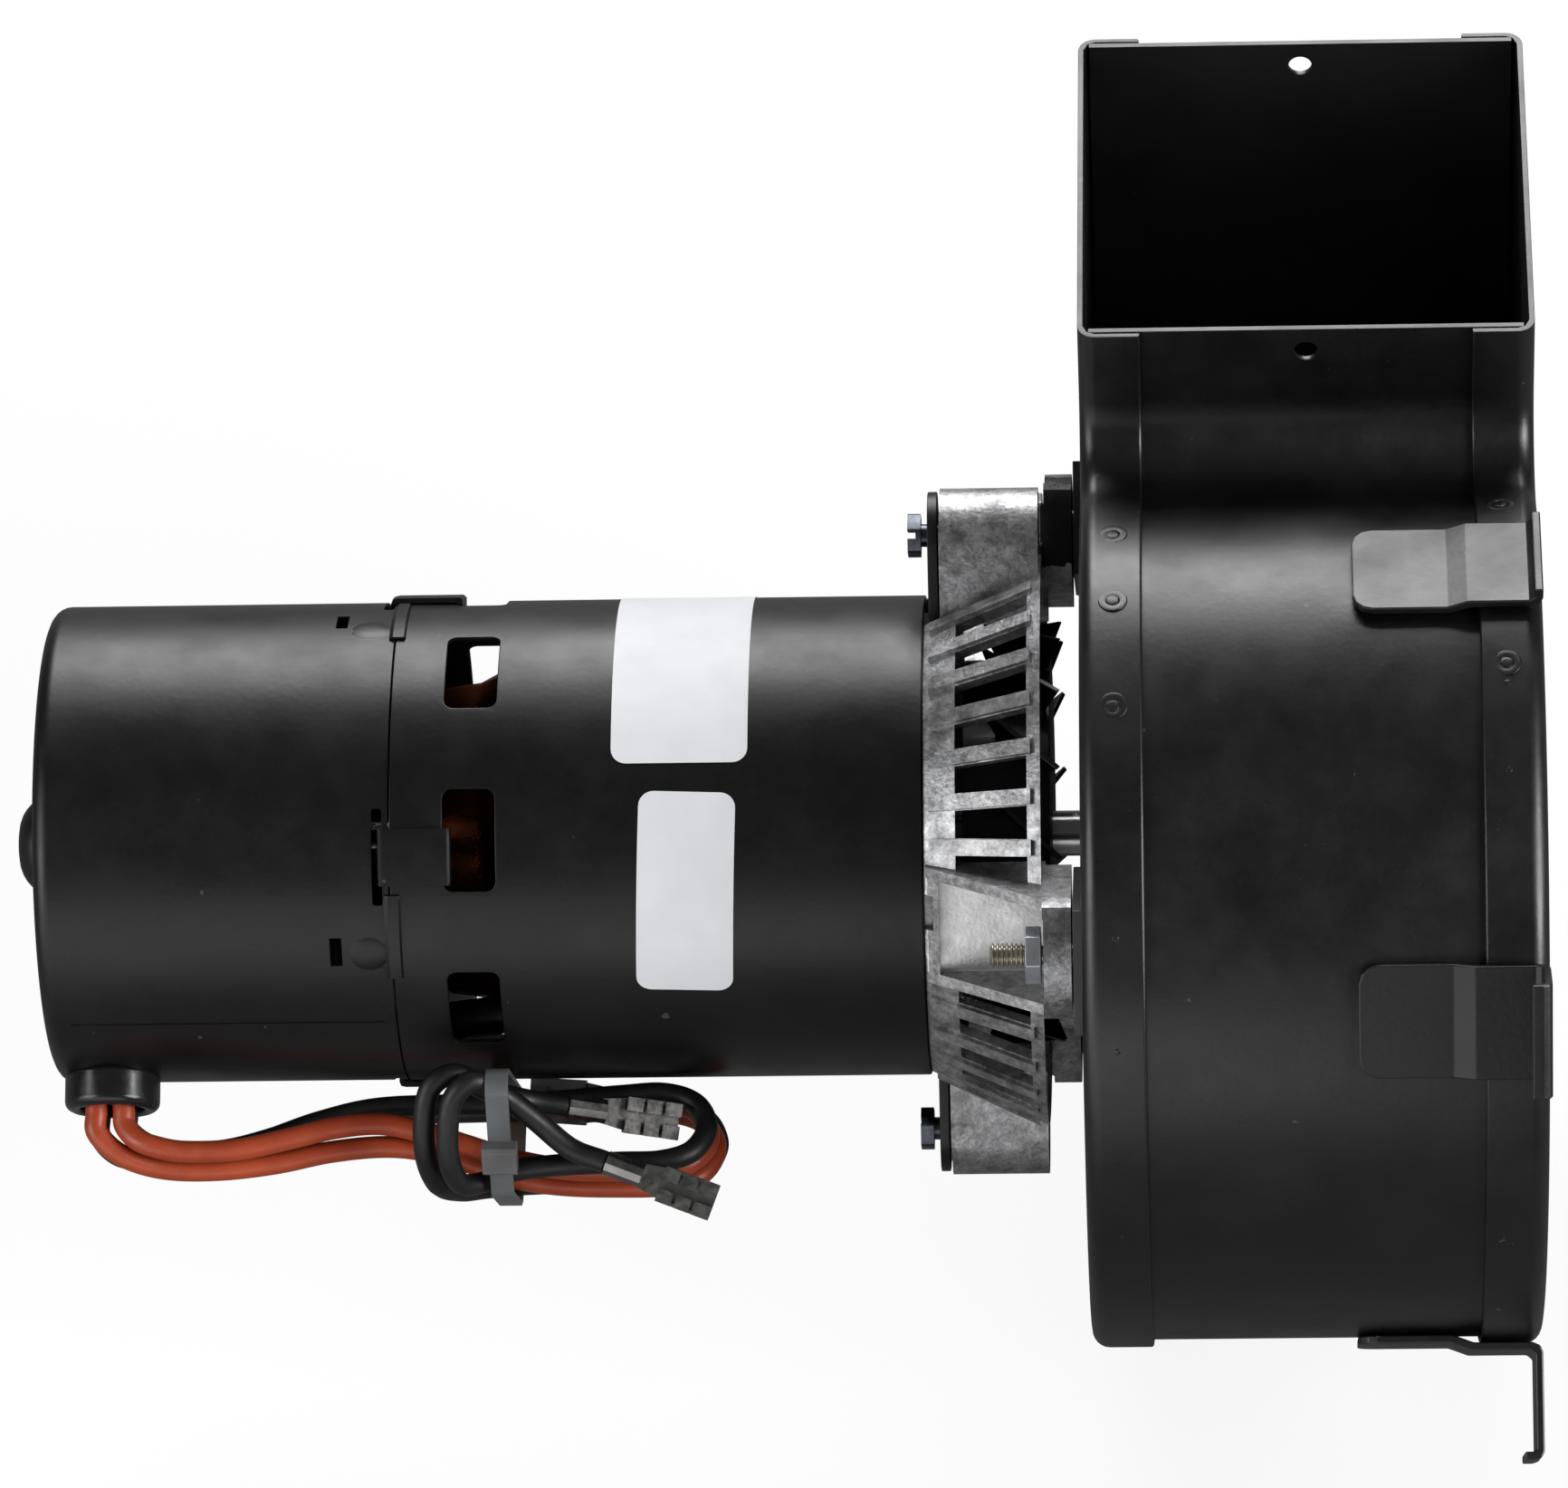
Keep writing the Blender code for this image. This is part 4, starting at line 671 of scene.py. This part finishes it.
cap_cuts = [block("relief_hole", relief_x, relief_y, RELIEF_CUT, RELIEF_TURN, RELIEF_HOLE_CORNER)]
slot_y = (-CAP_SLOT_HALF, CAP_SLOT_HALF)
cap_cuts += [block("slot", CAP_SLOT_X, slot_y, CAP_CUT, turn) for turn in CAP_SLOT_TURNS]
slit_y = (-CLIP_SLIT_HALF, CLIP_SLIT_HALF)
cap_cuts += [block("slit", CLIP_SLIT_X, slit_y, CAP_CUT, turn, CLIP_SLIT_CORNER) for turn in CLIP_TURNS]
combined(cap, "DIFFERENCE", *cap_cuts)
print("cuts in the cap:", len(cap_cuts))

# %% [markdown]
# Each tab rises through its slit, runs over the shell and hooks into a window. Beside each tab the rim
# laps over the shell's edge. A low seam runs along the cup, and two dimples are pressed out near its rim.

# %% Motor end cap: tabs, laps, seam and dimples
CLIP_WIDE, CLIP_THICK, CLIP_RISE, CLIP_ROOT = 9.6, 0.9, 1.2, 39.4
HOOK_THICK, HOOK_DEEP, HOOK_INTO = 1.0, 4.0, 0.3
LAP_BELOW, LAP_TURN = 19.5, 21.0
SEAM_TURN, SEAM_WIDE, SEAM_RISE = -3.4, 0.7, 0.14
SUNK = 0.3
CAP_DIMPLES = ((-200.9, 17.5), (-201.4, 106.0))
DIMPLE_SIZE, DIMPLE_SUNK = (3.9, 3.5, 0.78), 0.5
clip_top = MOTOR_R + CLIP_RISE
clip_under = clip_top - CLIP_THICK
hook_end = clip_top - HOOK_DEEP
hook = window_x[0] + HOOK_INTO
slit_side = CLIP_SLIT_X[1] + 0.1
clip_outline = [(slit_side - CLIP_THICK, CLIP_ROOT), (slit_side - CLIP_THICK, clip_under)]
clip_outline += [(slit_side - 0.6, clip_top - 0.2), (slit_side + 0.2, clip_top), (hook + 0.6, clip_top)]
clip_outline += [(hook + HOOK_THICK, clip_top - 0.4), (hook + HOOK_THICK, hook_end), (hook, hook_end)]
clip_outline += [(hook, clip_under), (slit_side, clip_under), (slit_side, CLIP_ROOT)]
clip_turn = math.degrees(CLIP_WIDE / MOTOR_R)
clips = [spun("clip", clip_outline, 8, turn, clip_turn) for turn in CLIP_TURNS]
lap_root, lap_seat, lap_top = MOTOR_R - 0.7, MOTOR_R + 0.1, MOTOR_R + 0.6
lap_outline = [(cap_edge - 0.6, lap_root), (cap_edge - 0.9, lap_seat), (cap_edge - 0.2, lap_top)]
lap_outline += [(cap_edge + 1.7, lap_top), (cap_edge + 2.0, lap_seat)]
lap_outline += [(cap_edge, lap_seat), (cap_edge, lap_root)]
laps = [spun("lap", lap_outline, 16, turn - LAP_BELOW, LAP_TURN) for turn in CLIP_TURNS]
seam_ends = (CAP_REAR + 5.0, cap_edge - 2.0)
seam_outline = [(seam_ends[0], cap_outer - SUNK), (seam_ends[0], cap_outer + SEAM_RISE)]
seam_outline += [(seam_ends[1], cap_outer + SEAM_RISE), (seam_ends[1], cap_outer - SUNK)]
combined(cap, "UNION", *clips, *laps, spun("seam", seam_outline, 2, SEAM_TURN, SEAM_WIDE))


def bump(name, x, turn, radius, size):
    """A flattened ball, sunk in a surface: size is (along the shaft, round it, out of it)."""
    piece = started(name, bpy.ops.mesh.primitive_uv_sphere_add, segments=24, ring_count=12, radius=1.0)
    lean = Matrix.Rotation(math.radians(90.0 - turn), 4, "X")
    spot = Matrix.Translation(round_shaft(x, radius, turn))
    piece.data.transform(spot @ lean @ Matrix.Diagonal((*size, 1.0)) @ Matrix.Scale(MM, 4))
    return piece


for x, turn in CAP_DIMPLES:
    combined(cap, "UNION", bump("dimple", x, turn, MOTOR_R - DIMPLE_SUNK, DIMPLE_SIZE))
dressed(eased(cap, 0.2), "housing", ENAMEL, "black_paint", "motor_end_cap")

# %% [markdown]
# The leads leave the cap through a snap-in bushing. It is turned like the cap, from a rounded profile
# with a well for the leads, and then swung out from the shaft to where it sits.

# %% Lead bushing
BUSHING_ROOT = 38.0
NECK_IN = 1.9
RIM_ROUND = 1.6
WELL_R, WELL_ROUND = 5.6, 0.8
bushing_foot = MOTOR_R + 0.7
bushing_seat = MOTOR_R - 0.9
well_floor = bushing_foot + 1.4
neck = RELIEF_R - NECK_IN
bushing_profile = [(BUSHING_ROOT, 0.0), (BUSHING_ROOT, neck), (bushing_seat, neck)]
bushing_profile += [(bushing_seat, RELIEF_R - 0.4), (bushing_seat + 0.5, RELIEF_R)]
bushing_profile += arc(bushing_foot + 3.4, RELIEF_R - RIM_ROUND, RIM_ROUND, 90.0, 0.0, 5)
bushing_profile += arc(bushing_foot + 4.2, WELL_R + WELL_ROUND, WELL_ROUND, 0.0, -90.0, 3)[1:]
bushing_profile += [(well_floor, WELL_R), (well_floor, 0.0)]
bushing = spun("lead_bushing", bushing_profile, 64)
stand = Matrix.Translation((RELIEF_X * MM, 0.0, 0.0)) @ Matrix.Rotation(-math.pi / 2, 4, "Y")
bushing.data.transform(Matrix.Rotation(math.radians(90.0 - RELIEF_TURN), 4, "X") @ stand)
dressed(eased(bushing, 0.2), "housing", BUSHING, "black_nylon", "strain_relief")

# %% [markdown]
# Two paper labels stick to the shell. Each starts as a plane whose corners are rounded, is sliced into
# strips so that it can bend, is wrapped round the shell and gets a thickness. They stay blank.

# %% Labels
LABELS = (("upper_label", (-158.8, -135.4), (62.8, 146.0), 0.0),
          ("lower_label", (-154.6, -138.0), (6.6, 55.8), math.radians(-2.0)))
SOFT_ANGLE = math.radians(35.0)
LABEL_CORNER = 2.6
LABEL_STRIP = 1.2
LABEL_LIFT = 0.14
PAPER_THICK = 0.1
for name, x, turns, tilt in LABELS:
    tall = math.radians(turns[1] - turns[0]) * MOTOR_R
    piece = started(name, bpy.ops.mesh.primitive_plane_add, size=1.0)
    for vert in piece.data.vertices:
        vert.co = Vector((vert.co.x * (x[1] - x[0]), vert.co.y * tall, 0.0))
    open_all()
    bpy.ops.mesh.bevel(offset=LABEL_CORNER, segments=6, affect="VERTICES")
    strips = round(tall / LABEL_STRIP)
    for step in range(1, strips):
        bpy.ops.mesh.select_all(action="SELECT")
        bpy.ops.mesh.bisect(plane_co=(0.0, tall * (step / strips - 0.5), 0.0), plane_no=(0.0, 1.0, 0.0))
    close()
    for vert in piece.data.vertices:
        laid = Matrix.Rotation(tilt, 3, "Z") @ vert.co
        turn = (turns[0] + turns[1]) / 2 + math.degrees(laid.y / MOTOR_R)
        vert.co = round_shaft(sum(x) / 2 + laid.x, MOTOR_R + LABEL_LIFT, turn)
    merged(piece)
    applied(piece, "SOLIDIFY", thickness=PAPER_THICK * MM, offset=-1.0)
    bpy.ops.object.shade_smooth_by_angle(angle=SOFT_ANGLE)
    dressed(piece, "housing", PAPER, "black_paint")

# %% [markdown]
# The bracket's casting is already the right shape, a slotted cone with ribs, bosses and feet, so a copy
# of the solid is used. Its loose triangles are welded into whole faces first, and every edge is rounded,
# because no edge of a casting is sharp.

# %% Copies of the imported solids
def welded_copy(node, name, flat=1.0):
    """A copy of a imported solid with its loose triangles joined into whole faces."""
    copy = placed(name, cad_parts[node].data.copy())
    pick(copy)
    bpy.ops.mesh.customdata_custom_splitnormals_clear()
    open_all()
    bpy.ops.mesh.remove_doubles(threshold=2e-6)
    bpy.ops.mesh.dissolve_limited(angle_limit=math.radians(flat))
    close()
    return copy


def dressed_copy(node, name, body, material, slot, *ease):
    """A welded copy of one solid, with its edges eased, in its finish."""
    return dressed(eased(welded_copy(node, name), *ease), body, material, slot, node)


# %% Bracket casting and its fasteners
RIM_NOTCH_X, RIM_NOTCH_Y, RIM_NOTCH_OUT = (-106.5, -103.9), (-3.2, 3.2), (40.0, 52.0)
RIM_NOTCH_TURN = 26.4
bracket = welded_copy("motor_bracket", "bracket_casting")
rim_notch = block("rim_notch", RIM_NOTCH_X, RIM_NOTCH_Y, RIM_NOTCH_OUT, RIM_NOTCH_TURN)
combined(bracket, "DIFFERENCE", rim_notch)
dressed(eased(bracket, 0.35, 2, 28.0), "housing", CAST, "cast_aluminium", "motor_bracket")
dressed_copy("front_end_shield", "end_shield_skin", "housing", ENAMEL, "black_paint", 0.2)
for node in ("ear_screw_1", "ear_screw_2"):
    dressed_copy(node, node + "_head", "housing", DARK_ZINC, "plated_steel", 0.22)
for node in ("foot_nut_1", "foot_nut_2", "foot_nut_3"):
    dressed_copy(node, node + "_body", "housing", ZINC, "plated_steel", 0.25)

# %% [markdown]
# The foot screws show their thread in front of the nut. A thread is a saw-toothed profile, so a zigzag is
# spun for each foot. At this size a spiral and a row of rings look the same.

# %% Threaded foot screws
FOOT_BOLT_R = 55.5
PITCH, TEETH = 0.8, 12
THREAD_R, ROOT_R, TIP_R, HEAD_R = 2.1, 1.65, 1.55, 4.1
HOUSING_BACK = -78.2
HEAD_X = HOUSING_BACK + 1.3
THREAD_TIP = -94.0
thread = [(THREAD_TIP, 0.0), (THREAD_TIP, TIP_R)]
for tooth in range(TEETH):
    start = THREAD_TIP + PITCH * (tooth + 0.5)
    thread += [(start, THREAD_R), (start + PITCH / 4, THREAD_R)]
    thread += [(start + PITCH / 2, ROOT_R), (start + PITCH * 3 / 4, ROOT_R)]
thread += [(HEAD_X, THREAD_R), (HEAD_X, HEAD_R)]
thread += arc(HEAD_X - 1.4, 0.0, HEAD_R, 22.0, 2.0, 5) + [(HEAD_X + 2.6, 0.0)]
for number, turn in enumerate(FOOT_TURNS, 1):
    screw = spun(f"foot_screw_{number}_thread", thread, 24)
    screw.data.transform(Matrix.Translation(round_shaft(0.0, FOOT_BOLT_R, turn)))
    bpy.ops.object.shade_smooth_by_angle(angle=SOFT_ANGLE)
    dressed(screw, "housing", THREAD_STEEL, "plated_steel", f"foot_screw_{number}")

# %% [markdown]
# The blower's casing is three pressed sheets that follow one path: down the front wall, round a fillet,
# round the spiral, and up the back wall. The path is computed from the same few values as the solid, with
# more points.

# %% Casing path
SCROLL_R0 = 61.5
SCROLL_GROWTH = 9.1
TONGUE_TURN = 125.0
FRONT_WALL_Y = 34.0
BACK_WALL_Y = 110.0
MOUTH_Z = 87.0
TONGUE_FILLET = 11.0
PLATE = 1.0
GAP = 0.3
FLANGE = 10.7
PLATE_CORNER = 3.0
SPIRAL_STEPS, FILLET_STEPS, WALL_STEPS, BEND_STEPS = 150, 18, 4, 6


def spiral_r(turn):
    return SCROLL_R0 + SCROLL_GROWTH * math.radians(TONGUE_TURN - turn)


def spiral_normal(turn):
    return (radial(turn) * spiral_r(turn) + radial(turn + 90.0) * SCROLL_GROWTH).normalized()


def spiral_point(turn, out):
    return radial(turn) * spiral_r(turn) + spiral_normal(turn) * out


def fillet_turn():
    """Where the tongue's fillet meets the spiral, found by halving."""
    low, high = 80.0, TONGUE_TURN
    for _ in range(40):
        middle = (low + high) / 2
        if spiral_point(middle, TONGUE_FILLET).y < FRONT_WALL_Y - TONGUE_FILLET:
            low = middle
        else:
            high = middle
    return low


FILLET_TURN = fillet_turn()


def casing_path(out):
    """(y, z) points from the front lip round to the back lip, moved outwards."""
    centre = spiral_point(FILLET_TURN, TONGUE_FILLET)
    normal = spiral_normal(FILLET_TURN)
    last = math.atan2(-normal.z, -normal.y)
    drop = centre.z - MOUTH_Z
    points = [(FRONT_WALL_Y - out, MOUTH_Z + drop * step / WALL_STEPS) for step in range(WALL_STEPS)]
    for step in range(FILLET_STEPS):
        angle = last * step / FILLET_STEPS
        points.append((centre.y + (TONGUE_FILLET - out) * math.cos(angle),
                       centre.z + (TONGUE_FILLET - out) * math.sin(angle)))
    for step in range(SPIRAL_STEPS + 1):
        point = spiral_point(FILLET_TURN - (FILLET_TURN + 180.0) * step / SPIRAL_STEPS, out)
        points.append((point.y, point.z))
    points[-1] = (BACK_WALL_Y + out, 0.0)
    return points + [(BACK_WALL_Y + out, MOUTH_Z * step / WALL_STEPS) for step in range(1, WALL_STEPS + 1)]


print(len(casing_path(0.0)), "points along the casing")

# %% [markdown]
# A grid from Blender's own primitive has its points in rows, so each row can be laid along the path at
# one corner of the sheet's section. A side plate is then closed with faces over its first and last rows
# and at its ends. The wrapper's section is a closed loop, so it only needs a face at each lip.

# %% Laying a sheet along the path
def laid_sheet(name, section, loop):
    """A grid whose rows follow the casing's path at each (out, x) of a section."""
    rows = [casing_path(out) for out, _ in section]
    lanes, columns = len(section), len(rows[0])
    piece = started(name, bpy.ops.mesh.primitive_grid_add, size=1.0,
                    x_subdivisions=columns - 1, y_subdivisions=lanes - 1)
    for row, ((_, x), path) in enumerate(zip(section, rows)):
        for column, (y, z) in enumerate(path):
            piece.data.vertices[row * columns + column].co = Vector((x, y, z)) * MM
    first = list(range(columns))
    last = [(lanes - 1) * columns + column for column in first]
    sides = [[row * columns for row in range(lanes)], [row * columns + columns - 1 for row in range(lanes)]]
    faces = sides if loop else [first, last] + sides + [[first[0], first[-1], last[0], last[-1]]]
    for corners in faces:
        chosen = set(corners)
        for part in (*piece.data.polygons, *piece.data.edges):
            part.select = False
        for vert in piece.data.vertices:
            vert.select = vert.index in chosen
        bpy.ops.object.mode_set(mode="EDIT")
        bpy.ops.mesh.select_mode(type="VERT")
        bpy.ops.mesh.edge_face_add()
        close()
    return merged(piece)


def plate_section(face, inward):
    """A pressed side plate: flat, a rounded corner, and a flange over the wrapper."""
    lap = PLATE + GAP
    flat = lap - PLATE_CORNER
    edge = face + FLANGE * inward
    section = []
    for step in range(BEND_STEPS + 1):
        turn = math.radians(90.0 * step / BEND_STEPS)
        section.append((flat + PLATE_CORNER * math.sin(turn),
                        face + inward * (PLATE_CORNER - PLATE_CORNER * math.cos(turn))))
    section += [(lap, edge - 0.3 * inward), (lap - 0.25, edge), (GAP, edge)]
    return section + [(GAP, face + PLATE_CORNER * inward), (GAP - 0.5, face + 1.7 * inward),
                      (flat, face + PLATE * inward)]


print(len(plate_section(0.0, 1.0)), "corners in a side plate's section")

# %% [markdown]
# The back plate carries the bracket. Its three raised seats are joined on as blocks, and the holes for the
# shaft and the foot screws are drilled afterwards, as on the real sheet.

# %% Back plate
SEAT_HALF, SEAT_OUT = 11.5, (44.0, 64.0)
SEAT_FACE = -79.8
BACK_DRILL = (-83.0, -75.0)
SHAFT_HOLE_R = 6.5
FOOT_HOLE_R = 2.5


def drilled(piece, x, radius, turn=90.0, out=0.0, sides=48):
    """A round hole along the shaft's direction."""
    cutter = spun("drill", [(x[0], 0.0), (x[0], radius), (x[1], radius), (x[1], 0.0)], sides)
    cutter.data.transform(Matrix.Translation(round_shaft(0.0, out, turn)))
    combined(piece, "DIFFERENCE", cutter)


back_plate = laid_sheet("back_plate_skin", plate_section(HOUSING_BACK, 1.0), False)
seat_x, seat_y = (SEAT_FACE, HOUSING_BACK + 0.5), (-SEAT_HALF, SEAT_HALF)
for turn in FOOT_TURNS:
    combined(back_plate, "UNION", block("seat", seat_x, seat_y, SEAT_OUT, turn))
drilled(back_plate, BACK_DRILL, SHAFT_HOLE_R)
for turn in FOOT_TURNS:
    drilled(back_plate, BACK_DRILL, FOOT_HOLE_R, turn, FOOT_BOLT_R, 24)
dressed(eased(back_plate, 0.2), "housing", CASING, "black_paint", "blower_back_plate")

# %% [markdown]
# Air comes in through a bell mouth in the inlet plate. A lip could be bent out of the sheet, but a spun
# ring joined to the drilled plate is simpler and looks the same.

# %% Inlet plate with its bell mouth
INLET_R = 36.0
INLET_DRILL = (-4.0, 4.0)
BELL_TIP = -8.0
BELL_FLARE = INLET_R + 2.5
BELL_RIM = INLET_R + 4.0
inlet = laid_sheet("inlet_plate_skin", plate_section(0.0, -1.0), False)
drilled(inlet, INLET_DRILL, INLET_R + 1.2, sides=96)
bell = [(-0.02, BELL_RIM), (-1.0, BELL_RIM), (-1.02, INLET_R + 2.6)]
bell += arc(-2.4, BELL_FLARE, 1.4, 90.0, 180.0, 4)[1:] + [(BELL_TIP, INLET_R + 1.1), (BELL_TIP, INLET_R)]
bell += arc(-2.5, BELL_FLARE, 2.5, -90.0, -10.0, 6) + [(-0.02, BELL_FLARE)]
combined(inlet, "UNION", spun("bell", bell, 96))
dressed(eased(inlet, 0.2), "housing", CASING, "black_paint", "inlet_plate")

# %% [markdown]
# The wrapper is one strip with a small hole near the lip of each wall. Five tabs are welded over the
# flange on the inlet side. Their solids have the right bends, so copies stand for them.

# %% Wrapper and mounting tabs
WRAP_INSET = 1.9
LIP_HOLE_R, LIP_HOLE_X, LIP_HOLE_DOWN = 2.05, -39.1, 5.0
wrap_left, wrap_right = HOUSING_BACK + WRAP_INSET, -WRAP_INSET
wrapper_section = [(0.0, wrap_left), (0.0, wrap_right), (-PLATE, wrap_right), (-PLATE, wrap_left)]
wrapper_section += wrapper_section[:1]
wrapper = laid_sheet("scroll_wrapper_skin", wrapper_section, True)
for y in (FRONT_WALL_Y, BACK_WALL_Y):
    hole = spun("lip_hole", [(-6.0, 0.0), (-6.0, LIP_HOLE_R), (6.0, LIP_HOLE_R), (6.0, 0.0)], 32)
    spot = Vector((LIP_HOLE_X, y, MOUTH_Z - LIP_HOLE_DOWN)) * MM
    hole.data.transform(Matrix.Translation(spot) @ Matrix.Rotation(math.pi / 2, 4, "Z"))
    combined(wrapper, "DIFFERENCE", hole)
dressed(eased(wrapper, 0.15), "housing", CASING, "black_paint", "scroll_wrapper")
for number in range(1, 6):
    node = f"mounting_tab_{number}"
    dressed_copy(node, node + "_strip", "housing", CASING, "black_paint", 0.25, 2, 12.0)

# %% [markdown]
# Spot welds hold the flanges to the wrapper. The upper ones leave a faint crescent round a low dome: a
# flattened torus, tipped so that one side sinks into the flange, and a flattened ball. The others are
# only small pimples. All of them are joined into one piece.

# %% Weld marks
WELD_TURNS = {"back": (93.3, 78.8, 61.8), "inlet": (101.0, 67.5)}
PIMPLE_TURNS = {"back": (31.7, 17.5, -10.0), "inlet": (64.5, 52.4, -12.0)}
WELD_X = {"back": HOUSING_BACK + 5.8, "inlet": -6.4}
WELD_RING, WELD_WIRE, WELD_FLAT = 1.8, 0.7, 0.13
WELD_TIP = 3.2
PIMPLE_R = 0.55


def on_flange(piece, x, turn, tip=0.0):
    """Flattens a piece made at the origin and lays it on the flange, tipped a little."""
    spot = spiral_point(turn, PLATE + GAP) + Vector((x, 0.0, 0.0))
    facing = spiral_normal(turn)
    lean = Matrix.Rotation(math.atan2(-facing.y, facing.z), 4, "X")
    tipped = Matrix.Rotation(math.radians(tip), 4, (math.cos(turn), math.sin(turn), 0.0))
    flat = Matrix.Diagonal((1.0, 1.0, WELD_FLAT, 1.0))
    piece.data.transform(Matrix.Scale(MM, 4) @ Matrix.Translation(spot) @ lean @ tipped @ flat)
    return piece


def pimple(x, turn, radius):
    """A small ball, flattened on the flange."""
    ball = started("pimple", bpy.ops.mesh.primitive_uv_sphere_add, segments=16, ring_count=8, radius=radius)
    return on_flange(ball, x, turn)


def weld_mark(x, turn):
    """A crescent round a low dome."""
    ring = started("crescent", bpy.ops.mesh.primitive_torus_add, major_radius=WELD_RING,
                   minor_radius=WELD_WIRE, major_segments=28, minor_segments=8)
    return [on_flange(ring, x, turn, WELD_TIP), pimple(x, turn, 2.0 * PIMPLE_R)]


marks = []
for side, x in WELD_X.items():
    for turn in WELD_TURNS[side]:
        marks += weld_mark(x, turn)
    marks += [pimple(x, turn, PIMPLE_R) for turn in PIMPLE_TURNS[side]]
pick(marks[0])
for piece in marks[1:]:
    piece.select_set(True)
bpy.ops.object.join()
marks[0].name = "weld_marks"
bpy.ops.object.shade_smooth()
dressed(marks[0], "housing", CASING, "black_paint")

# %% [markdown]
# The turning parts show through the cage and the two openings: the shaft, a stamped cooling fan, and the
# bladed wheel. Welded copies of their solids stand for them. The copper windings that the windows show
# are dressed in the same way.

# %% Shaft, cooling fan, wheel and windings
dressed_copy("shaft", "shaft_bar", "rotor", SHAFT_STEEL, "plated_steel", 0.3)
dressed_copy("cooling_fan", "cooling_fan_stamping", "rotor", ENAMEL, "black_paint", 0.12, 1)
dressed_copy("blower_wheel", "wheel_blades", "rotor", WHEEL_STEEL, "plated_steel", 0.1, 1)
dressed_copy("wheel_hub", "wheel_hub_turning", "rotor", WHEEL_STEEL, "plated_steel", 0.3)
windings = eased(welded_copy("winding_rear", "rear_windings", 0.1), 0.3, 2, 60.0)
dressed(windings, "housing", COPPER, "copper_wire", "winding_rear")

# %% [markdown]
# Terminals and the tie belong to the hank, so they are made first, before the leads. Thin blocks cut the
# grooves across each terminal.

# %% Terminals, tie and leads
GROOVES = (13.6, 16.9)
GROOVE_HALF, GROOVE_Y, GROOVE_Z = 0.3, (-4.0, 4.0), (0.6, 3.0)
TERMINAL_LEADS = ("lead_black_1", "lead_black_2", "lead_orange_1", "lead_orange_2")


def groove(name, reach):
    """A thin cutter across a terminal, at a distance past the end of its lead."""
    line = smooth_route([hung(point) for point in ROUTES[name]])
    ahead = (line[-1] - line[-2]).normalized()
    face = (towards_camera - ahead * towards_camera.dot(ahead)).normalized()
    cutter = block("groove", (reach - GROOVE_HALF, reach + GROOVE_HALF), GROOVE_Y, GROOVE_Z)
    turned = Matrix((ahead, face.cross(ahead), face)).transposed().to_4x4()
    cutter.data.transform(Matrix.Translation(line[-1]) @ turned)
    return cutter


for number, name in enumerate(TERMINAL_LEADS, 1):
    piece = welded_copy(f"lead_terminal_{number}", f"terminal_{number}_receptacle")
    combined(piece, "DIFFERENCE", *[groove(name, reach) for reach in GROOVES])
    eased(piece, 0.12, 1)
    dressed(piece, "housing", TIN, "plated_steel", f"lead_terminal_{number}")
tie = dressed_copy("cable_tie", "cable_tie_band", "housing", GREY_NYLON, "grey_nylon", 0.2)
lead("lead_black_1", BLACK_LEAD)
lead("lead_black_2", BLACK_LEAD)
lead("lead_orange_1", ORANGE)
lead("lead_orange_2", ORANGE)

# %% [markdown]
# Inside the cap the leads run on from the windings to the bushing, which the lower window shows. They are
# too deep to tell apart there, so one thick curve stands for all four.

# %% Bundle of leads inside the cap
BUNDLE_PATH = ((-168.0, 31.0, -20.0), (-180.0, 33.2, -24.0), (-200.0, 34.5, -28.0), (-225.0, 36.0, -31.0),
               (-247.0, 38.0, -33.0))
BUNDLE_R = 3.5
bundle = started("inner_lead_bundle", bpy.ops.curve.primitive_nurbs_path_add)
for knot, place in zip(bundle.data.splines[0].points, BUNDLE_PATH):
    knot.co = (*round_shaft(*place), 1.0)
bundle.data.bevel_depth = BUNDLE_R * MM
bundle.data.use_fill_caps = True
bpy.ops.object.convert(target="MESH")
bpy.ops.object.shade_smooth()
dressed(bundle, "housing", BLACK_LEAD, "black_silicone")

# %% [markdown]
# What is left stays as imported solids, hidden in the motor and the wheel's hub: the core, bearings and the
# speed switch. Each still gets its own finish.

# %% Inner solids
INNER = {"front_bearing": BRONZE, "rear_bearing": BRONZE, "stator_core": LAMINATION,
         "rotor_core": LAMINATION, "winding_front": COPPER, "wheel_set_screw": DARK_ZINC,
         "switch_carrier": ZINC, "switch_collar": NYLON, "flyweight_1": ZINC, "flyweight_2": ZINC,
         "switch_lever": NYLON, "switch_board": BOARD}
for node, material in INNER.items():
    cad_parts[node].material_slots[0].material = material
print("inner solids:", len(INNER))
